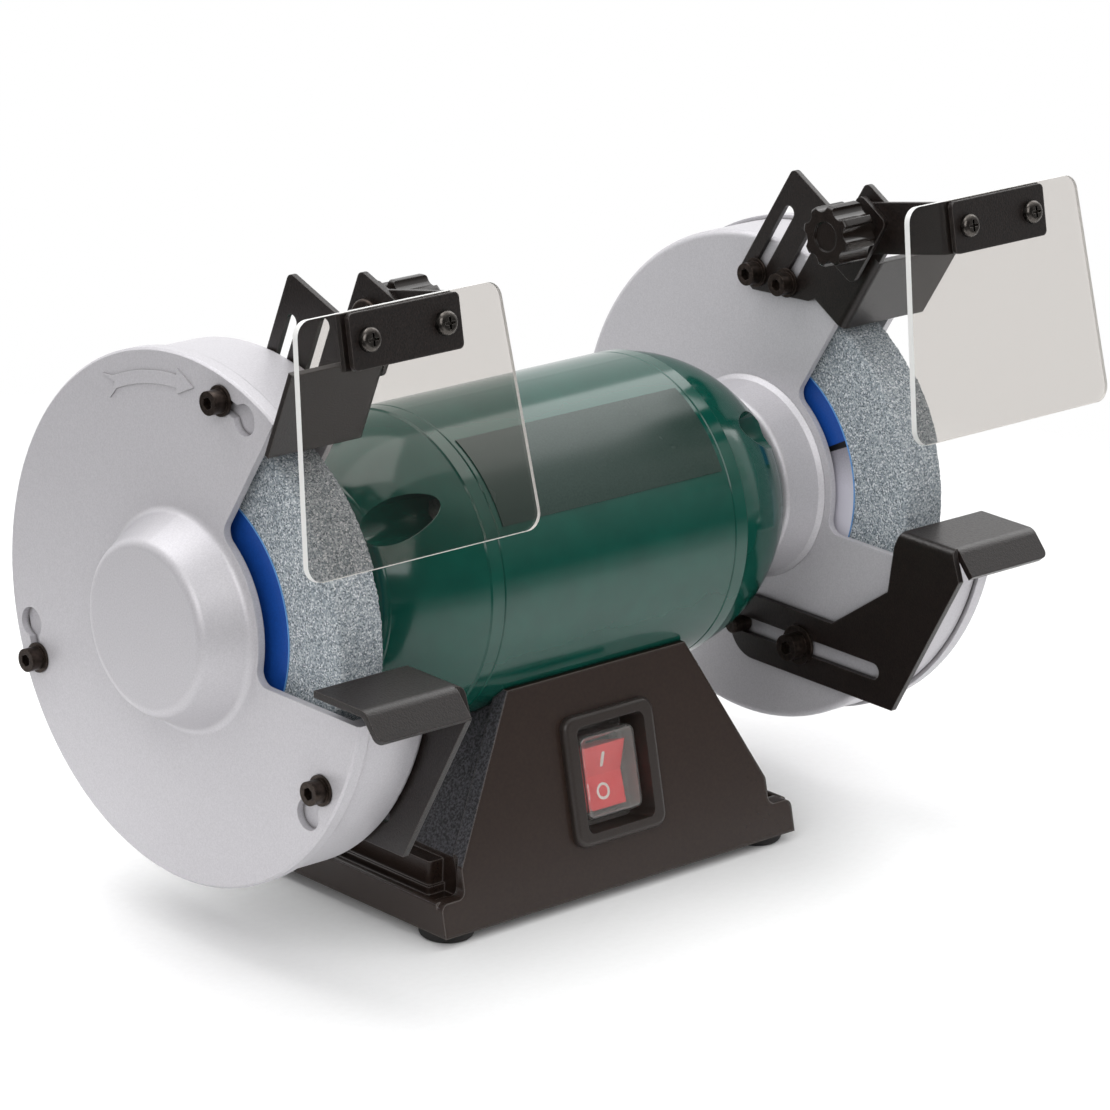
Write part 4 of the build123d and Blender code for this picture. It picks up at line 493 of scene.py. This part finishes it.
FINISHES = [
    (silver_stove_enamel(), ["guard_collars"] + pair("inner_guard", "outer_cover")),
    (green_gloss_enamel(), ["motor_shell"] + pair("end_bell")),
    (black_satin_enamel(), ["base_housing"]),
    (
        black_powder_coat(),
        pair("tool_rest", "spark_arrester", "pressure_plate", "shield_arm", "shield_clamp"),
    ),
    (
        blackened_screw(),
        ["cover_screws", "guard_screws", "arrester_screws", "rest_bolts"] + pair("clamp_bolt"),
    ),
    (black_zinc_screw(), pair("shield_screws")),
    (zinc_plated_screw(), ["base_plate_screws", "motor_base_bolts", "tie_bolts", "base_plate"]),
    (turned_steel(), ["shaft", "inner_flanges", "outer_flanges", "wheel_nuts"]),
    (ground_bearing_steel(), ["bearing_outer_rings", "bearing_inner_rings", "bearing_balls", "wave_washers"]),
    (laminated_core_steel(), ["stator_core", "rotor_core"]),
    (varnished_copper(), ["stator_windings"]),
    (drawn_aluminium(), ["run_capacitor", "capacitor_clip"]),
    (bonded_grit(), pair("wheel")),
    (printed_label_card(), ["wheel_labels"]),
    (printed_plate_film(), ["motor_nameplate"]),
    (moulded_black_plastic(), ["switch_bezel", "switch_body", "cable_gland", "cable_gland_nut"]),
    (polished_black_knob(), pair("clamp_knob")),
    (moulded_red_plastic(), ["switch_rocker"]),
    (moulded_grey_plastic(), ["terminal_block"]),
    (moulded_rubber(), ["rubber_feet"]),
    (cast_acrylic(), pair("eye_shield")),
    (soft_clear_hood(), ["switch_hood"]),
]
for finish, names in FINISHES:
    for name in names:
        nodes[name].data.materials.clear()
        nodes[name].data.materials.append(finish)


# Wheels whose edges have crumbled a little, as dressed stone does

def in_scene(name, mesh, finish):
    """An object of this mesh and finish, placed in the scene."""
    mesh.materials.append(finish)
    piece = bpy.data.objects.new(name, mesh)
    bpy.context.scene.collection.objects.link(piece)
    return piece


def wheel_profile(low, high, radius):
    """Points around the wheel's section: place along X, way inwards, radius, deepest loss of grains."""
    pore, scuff, chip = 0.00005, 0.0001, 0.0004
    edge_break, edge_band, worn_band = 0.0007, 0.0025, 0.006
    label_margin = 0.002
    # Depth from the face, radius, and how deep a grain may be lost there.
    half = [
        (0.0, WHEEL_BORE, 0.0),
        (0.0, LABEL_RADIUS + label_margin, 0.0),
        (0.0, radius - worn_band, pore),
        (0.0, radius - edge_band, scuff),
        (pore, radius - edge_break, chip),
        (edge_break, radius - pore, chip),
        (edge_band, radius, scuff),
        (worn_band, radius, pore),
    ]
    near = [(low + depth, 1.0, reach, loss) for depth, reach, loss in half]
    return near + [(high - depth, -1.0, reach, loss) for depth, reach, loss in reversed(half)]


def crumbled_wheel(side, dice, steps=720):
    """The wheel turned from a fine profile, with grains lost along both rims."""
    low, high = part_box(f"{side}_wheel")
    height = (high.z + low.z) / 2
    profile = wheel_profile(low.x, high.x, (high.z - low.z) / 2)
    points, walls = [], []
    for step in range(steps):
        turn = 2 * math.pi * step / steps
        for x, inward, radius, loss in profile:
            reach = radius - loss * dice.random()
            along = x + inward * loss * dice.random()
            points.append((along, -reach * math.cos(turn), height + reach * math.sin(turn)))
    count = len(profile)
    for step in range(steps):
        here, after = step * count, (step + 1) % steps * count
        for row in range(count):
            above = (row + 1) % count
            walls.append((here + row, here + above, after + above, after + row))
    mesh = bpy.data.meshes.new(f"{side}_wheel_stone")
    mesh.from_pydata(points, [], walls)
    mesh.polygons.foreach_set("use_smooth", [True] * len(walls))
    stone = in_scene(f"{side}_wheel_stone", mesh, nodes[f"{side}_wheel"].data.materials[0])
    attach(stone, "rotor")
    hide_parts(f"{side}_wheel")


CHIP_SEED = 36
chips = random.Random(CHIP_SEED)
for side in ("left", "right"):
    crumbled_wheel(side, chips)


# Signs on the rocker: a bar for on and a ring for off

INK = 0.0001
BAR_WIDTH, BAR_HEIGHT = 0.0014, 0.0062
RING_RADIUS, RING_HOLE = 0.0031, 0.0021


def rocker_facet(upper):
    """Middle and outward direction of one half of the rocker's front."""
    least_front, least_area = 0.9, 1e-5
    faces = nodes["switch_rocker"].data.polygons
    front = [face for face in faces if -face.normal.y > least_front and face.area > least_area]
    middle = sum(face.center.z for face in front) / len(front)
    half = [face for face in front if (face.center.z > middle) == upper]
    area = sum(face.area for face in half)
    return sum((face.center * face.area for face in half), Vector()) / area, half[0].normal.copy()


def bar_outline(width, height, steps=12):
    """Upright bar with round ends."""
    turns = [math.pi * step / (steps - 1) for step in range(steps)]
    top = [(width / 2 * math.cos(a), (height - width) / 2 + width / 2 * math.sin(a)) for a in turns]
    return top + [(-u, -v) for u, v in top]


def ring_outline(radius, steps=48):
    """Round outline."""
    turns = [2 * math.pi * step / steps for step in range(steps)]
    return [(radius * math.cos(a), radius * math.sin(a)) for a in turns]


def pad_print(name, finish, upper, outline, hole=None):
    """A sign of ink, a tenth of a millimetre thick, lying on the rocker."""
    middle, outward = rocker_facet(upper)
    upward = outward.cross(Vector((1.0, 0.0, 0.0)))
    sign = bmesh.new()

    def loop(points, lift):
        return [sign.verts.new(middle + Vector((u, 0, 0)) + upward * v + outward * lift) for u, v in points]

    def wall(first, second):
        for here in range(len(first)):
            after = (here + 1) % len(first)
            sign.faces.new((first[here], first[after], second[after], second[here]))

    base, skin = loop(outline, -INK / 2), loop(outline, INK)
    wall(base, skin)
    if hole:
        inner_base, inner_skin = loop(hole, -INK / 2), loop(hole, INK)
        wall(skin, inner_skin)
        wall(inner_skin, inner_base)
        wall(inner_base, base)
    else:
        sign.faces.new(skin)
        sign.faces.new(base[::-1])
    bmesh.ops.recalc_face_normals(sign, faces=sign.faces)
    mesh = bpy.data.meshes.new(name)
    sign.to_mesh(mesh)
    sign.free()
    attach(in_scene(name, mesh, finish), "rocker")


white_ink = white_pad_print()
pad_print("rocker_mark_on", white_ink, True, bar_outline(BAR_WIDTH, BAR_HEIGHT))
pad_print("rocker_mark_off", white_ink, False, ring_outline(RING_RADIUS), ring_outline(RING_HOLE))


# Studio

MIDDLE = (0.0, 0.0, 0.12)
RIGHT_GUARD = (0.1, 0.0, 0.12)
FLOOR_HALF = 6.0


def lamp(name, place, aim, size, watts):
    """A soft rectangular lamp turned to the point that it lights."""
    made = bpy.data.lights.new(name, "AREA")
    made.shape = "RECTANGLE"
    made.size, made.size_y = size
    made.energy = watts
    item = bpy.data.objects.new(name, made)
    item.location = place
    item.rotation_euler = (Vector(aim) - Vector(place)).to_track_quat("-Z", "Y").to_euler()
    bpy.context.scene.collection.objects.link(item)


lamp("key", (-2.3, -1.9, 1.95), MIDDLE, (2.4, 2.4), 48.0)
lamp("top", (0.0, 0.1, 1.3), MIDDLE, (1.2, 0.8), 2.8)
lamp("between", (-0.15, 0.3, 0.8), RIGHT_GUARD, (0.6, 0.6), 2.2)
lamp("side", (1.0, 0.1, 1.0), MIDDLE, (0.9, 0.9), 5.2)


def paper_floor():
    """Seamless white paper: matt, faintly fibrous, running out into the white around it."""
    full_paper, no_paper = 0.26, 0.6
    made, tree, shader, where = surface("white paper", {"Specular IOR Level": 0.0})
    fibres = grain(tree, where, 3.0, 4.0)
    tone(tree, shader, fibres, [(0.3, "#F9F9F9"), (0.7, "#FCFCFC")])
    spread(tree, shader, fibres, 0.9, 1.0)
    relief(tree, shader, fibres, 0.01)
    fading = remap(tree, length(tree, where), 0.0, 1.0, low=full_paper, high=no_paper)
    spread(tree, shader, fading, 1.0, 0.0, "Alpha")
    return made


sheet = bpy.data.meshes.new("floor")
corners = [(FLOOR_HALF * x, FLOOR_HALF * y, 0.0) for x, y in ((-1, -1), (1, -1), (1, 1), (-1, 1))]
sheet.from_pydata(corners, [], [(0, 1, 2, 3)])
in_scene("floor", sheet, paper_floor())


def studio_world():
    """White paper behind the object, overhead and in front to the right; a dim room on the camera's side."""
    to_backdrop, to_front_right = (0.5, 0.55, 0.67), (0.69, -0.72, 0.0)
    dim, room_light, backdrop_light, white = 0.1, 0.62, 0.9, ink("#FFFFFF")
    world = bpy.data.worlds.new("studio")
    world.use_nodes = True
    tree = world.node_tree
    tree.nodes.clear()
    path = add(tree, "ShaderNodeLightPath").outputs
    ray = add(tree, "ShaderNodeTexCoord").outputs["Generated"]
    behind = agree(tree, ray, to_backdrop)
    height = add(tree, "ShaderNodeSeparateXYZ", {"Vector": ray}).outputs["Z"]
    # What shiny surfaces mirror: paper low in front to the right, and the dim room.
    before = remap(tree, agree(tree, ray, to_front_right), dim, 1.0, high=0.7)
    paper = remap(tree, height, before, dim, low=-0.3, high=-0.05)
    shiny = calc(tree, "MINIMUM", path["Glossy Depth"], 1.0)
    room = remap(tree, shiny, room_light, paper)
    level = remap(tree, behind, room, backdrop_light, low=-0.1, high=0.6)
    mirrored = calc(tree, "MULTIPLY", shiny, remap(tree, behind, 0.0, 1.0, low=0.2, high=0.6))
    # Looked at straight through a shield, the white shows too; light that a surface takes in
    # through it is the room's.
    bounced = calc(tree, "ADD", path["Glossy Depth"], path["Diffuse Depth"])
    through = calc(tree, "MULTIPLY", path["Is Transmission Ray"], calc(tree, "LESS_THAN", bounced, 0.5))
    clear = calc(tree, "MAXIMUM", path["Is Camera Ray"], through)
    seen = calc(tree, "MAXIMUM", clear, mirrored)
    soft = add(tree, "ShaderNodeBackground", {"Color": white, "Strength": level}).outputs[0]
    bright = add(tree, "ShaderNodeBackground", {"Color": white, "Strength": 1.0}).outputs[0]
    either = add(tree, "ShaderNodeMixShader", {0: seen, 1: soft, 2: bright}).outputs[0]
    add(tree, "ShaderNodeOutputWorld", {"Surface": either})
    return world


def fitted_camera():
    """The camera as fitted to the photograph, a little rolled."""
    place = Vector((-1.2945, -1.3813, 0.7364))
    azimuth, elevation, roll = map(math.radians, (-43.14, 18.12, 2.0))
    level = math.cos(elevation)
    back = Vector((math.sin(azimuth) * level, -math.cos(azimuth) * level, math.sin(elevation)))
    right = Vector((math.cos(azimuth), math.sin(azimuth), 0.0))
    up = back.cross(right)
    across = right * math.cos(roll) + up * math.sin(roll)
    upright = up * math.cos(roll) - right * math.sin(roll)
    lens = bpy.data.cameras.new("camera")
    lens.sensor_width = 36.0
    lens.lens = 178.13
    lens.shift_x, lens.shift_y = 0.0384, -0.0127
    camera = bpy.data.objects.new("camera", lens)
    camera.matrix_world = Matrix.Translation(place) @ Matrix((across, upright, back)).transposed().to_4x4()
    bpy.context.scene.collection.objects.link(camera)
    return camera


bpy.context.scene.world = studio_world()
bpy.context.scene.camera = fitted_camera()
bpy.context.scene.view_settings.view_transform = "Standard"
